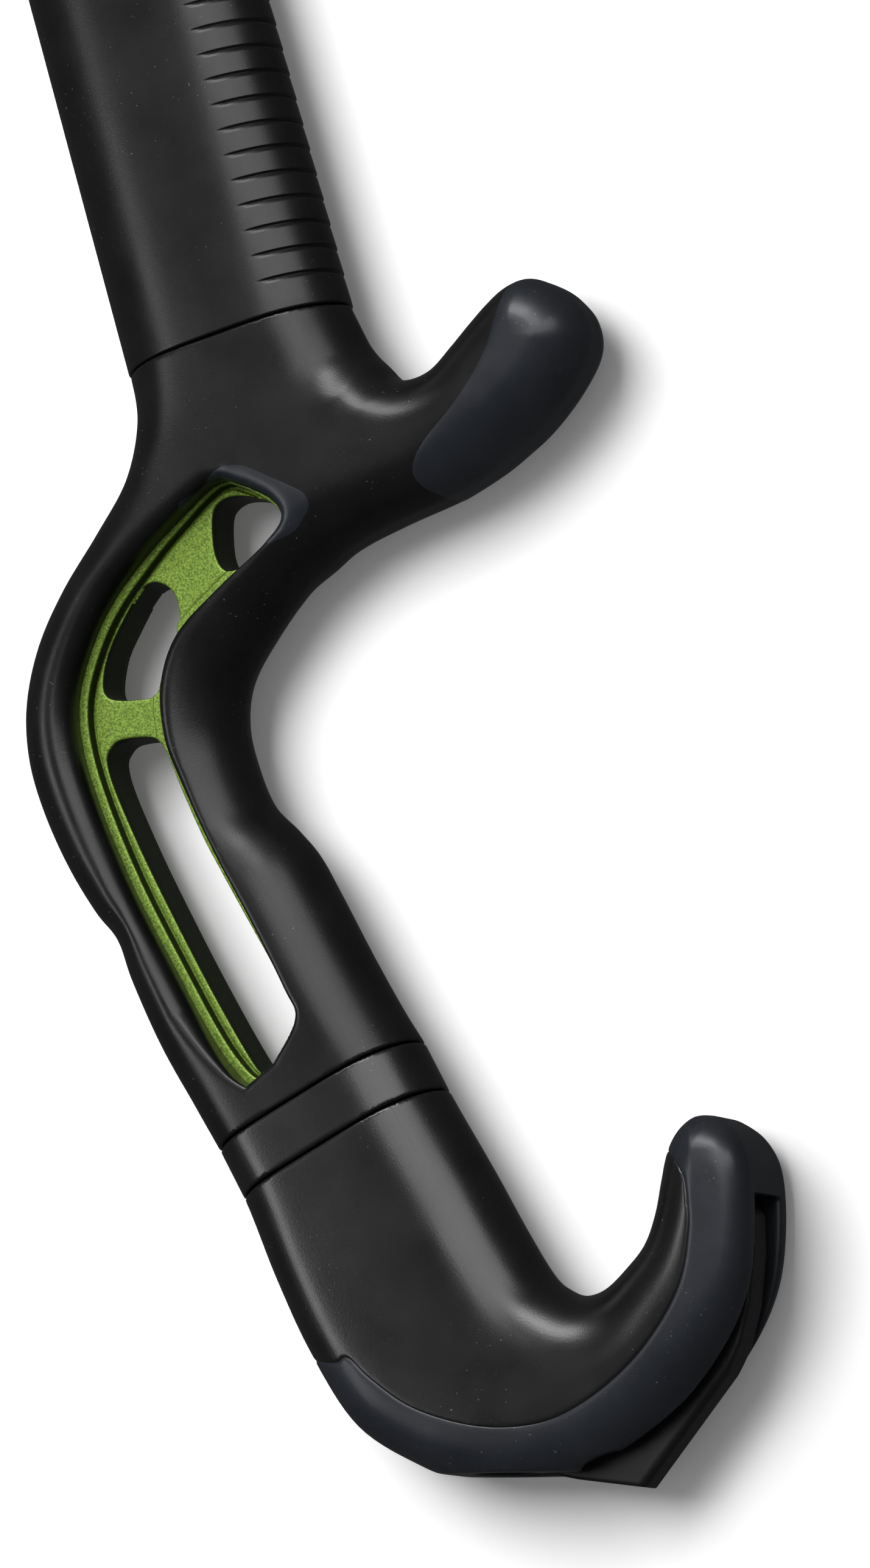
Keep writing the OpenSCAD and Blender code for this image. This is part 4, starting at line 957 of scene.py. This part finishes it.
# The camera is above the tool, on its finger side and a little towards the spike
VIEW_BACK = Vector((4, -1.1, 10)).normalized()
VIEW_RIGHT = Vector((0, 1, 0)).cross(VIEW_BACK).normalized()
VIEW_UP = VIEW_BACK.cross(VIEW_RIGHT)
VIEW_MIDDLE = Vector(SHIFT) * MM
# Distance of the camera, and height of the picture at the tool, in m
CAMERA_FAR = 2.0
FRAME_TALL = 0.23957


def aimed(obj, place, right, up, back):
    """Object at a place whose own axes are right, up and back."""
    turn = Matrix((right, up, back)).transposed().to_4x4()
    obj.matrix_world = Matrix.Translation(place) @ turn
    bpy.context.scene.collection.objects.link(obj)


camera = bpy.data.cameras.new("camera")
camera.lens = camera.sensor_width * CAMERA_FAR / FRAME_TALL
camera.clip_start = 0.1
camera_obj = bpy.data.objects.new("camera", camera)
aimed(camera_obj, VIEW_MIDDLE + CAMERA_FAR * VIEW_BACK, VIEW_RIGHT, VIEW_UP, VIEW_BACK)
bpy.context.scene.camera = camera_obj


def panel_light(name, back, right, distance, size, offset, watts, gloss):
    """Area light that faces the tool; it either lights it or shows as a reflection.

    back and right are the panel's own axes; offset moves it along right and up."""
    back = Vector(back).normalized()
    right = Vector(right)
    right = (right - right.dot(back) * back).normalized()
    up = back.cross(right)
    light = bpy.data.lights.new(name, "AREA")
    light.shape = "RECTANGLE"
    light.size, light.size_y = size
    light.energy = watts
    obj = bpy.data.objects.new(name, light)
    obj.visible_diffuse = not gloss
    obj.visible_glossy = gloss
    place = VIEW_MIDDLE + distance * back + offset[0] * right + offset[1] * up
    aimed(obj, place, right, up, back)


ACROSS = (1, 0, 0)
panel_light("key", (-0.26, 0.32, 0.91), ACROSS, distance=1.5,
            size=(1.0, 1.0), offset=(0, 0), watts=27, gloss=False)
panel_light("fill", (0, 0, 1), ACROSS, distance=1.5,
            size=(3.5, 3.5), offset=(0, 0), watts=10, gloss=False)
# Reflections: a long panel along the turn of the finger side, a small one above it for the bend of
# the hook, a tall one on the palm side, and a low one behind for the edges that face up the tool
FINGER_BACK, FINGER_RIGHT = (0.386, 0.564, 0.73), (0.676, 0.361, -0.639)
panel_light("finger highlight", FINGER_BACK, FINGER_RIGHT, distance=1.2,
            size=(1.5, 0.55), offset=(-0.05, -0.13), watts=10.5, gloss=True)
panel_light("bend highlight", FINGER_BACK, FINGER_RIGHT, distance=1.2,
            size=(0.4, 0.45), offset=(0, 0.4), watts=3.6, gloss=True)
panel_light("palm highlight", (-0.66, 0, 0.75), ACROSS, distance=1.2,
            size=(0.22, 0.58), offset=(0, -0.09), watts=2.9, gloss=True)
panel_light("edge highlight", (-0.2, 0.82, 0.53), ACROSS, distance=1.2,
            size=(0.8, 0.4), offset=(0, 0), watts=10, gloss=True)

# Half width of the floor in m, its glow, and the light from all round
FLOOR_REACH, FLOOR_GLOW, AMBIENT = 6.0, 0.08, 0.06


def floor():
    """Wide pale floor; it glows a little to the camera, so that it is white where no shadow falls."""
    half = FLOOR_REACH
    corners = [(-half, -half, 0), (half, -half, 0), (half, half, 0), (-half, half, 0)]
    mesh = bpy.data.meshes.new("floor")
    mesh.from_pydata(corners, [], [(0, 1, 2, 3)])
    obj = bpy.data.objects.new("floor", mesh)
    paint = Paint("floor")
    seen = paint.add("ShaderNodeLightPath", {}).outputs["Is Camera Ray"]
    mesh.materials.append(paint.finish(
        Base_Color=rgb(0.92, 0.92, 0.92), Roughness=0.9, Specular_IOR_Level=0.1,
        Emission_Color=rgb(1, 1, 1), Emission_Strength=paint.math("MULTIPLY", seen, FLOOR_GLOW)))
    obj.visible_glossy = False
    bpy.context.scene.collection.objects.link(obj)


floor()
world = bpy.data.worlds.new("studio")
world.use_nodes = True
world.node_tree.nodes["Background"].inputs["Color"].default_value = rgb(1, 1, 1)
world.node_tree.nodes["Background"].inputs["Strength"].default_value = AMBIENT
bpy.context.scene.world = world
bpy.context.scene.view_settings.view_transform = "Standard"
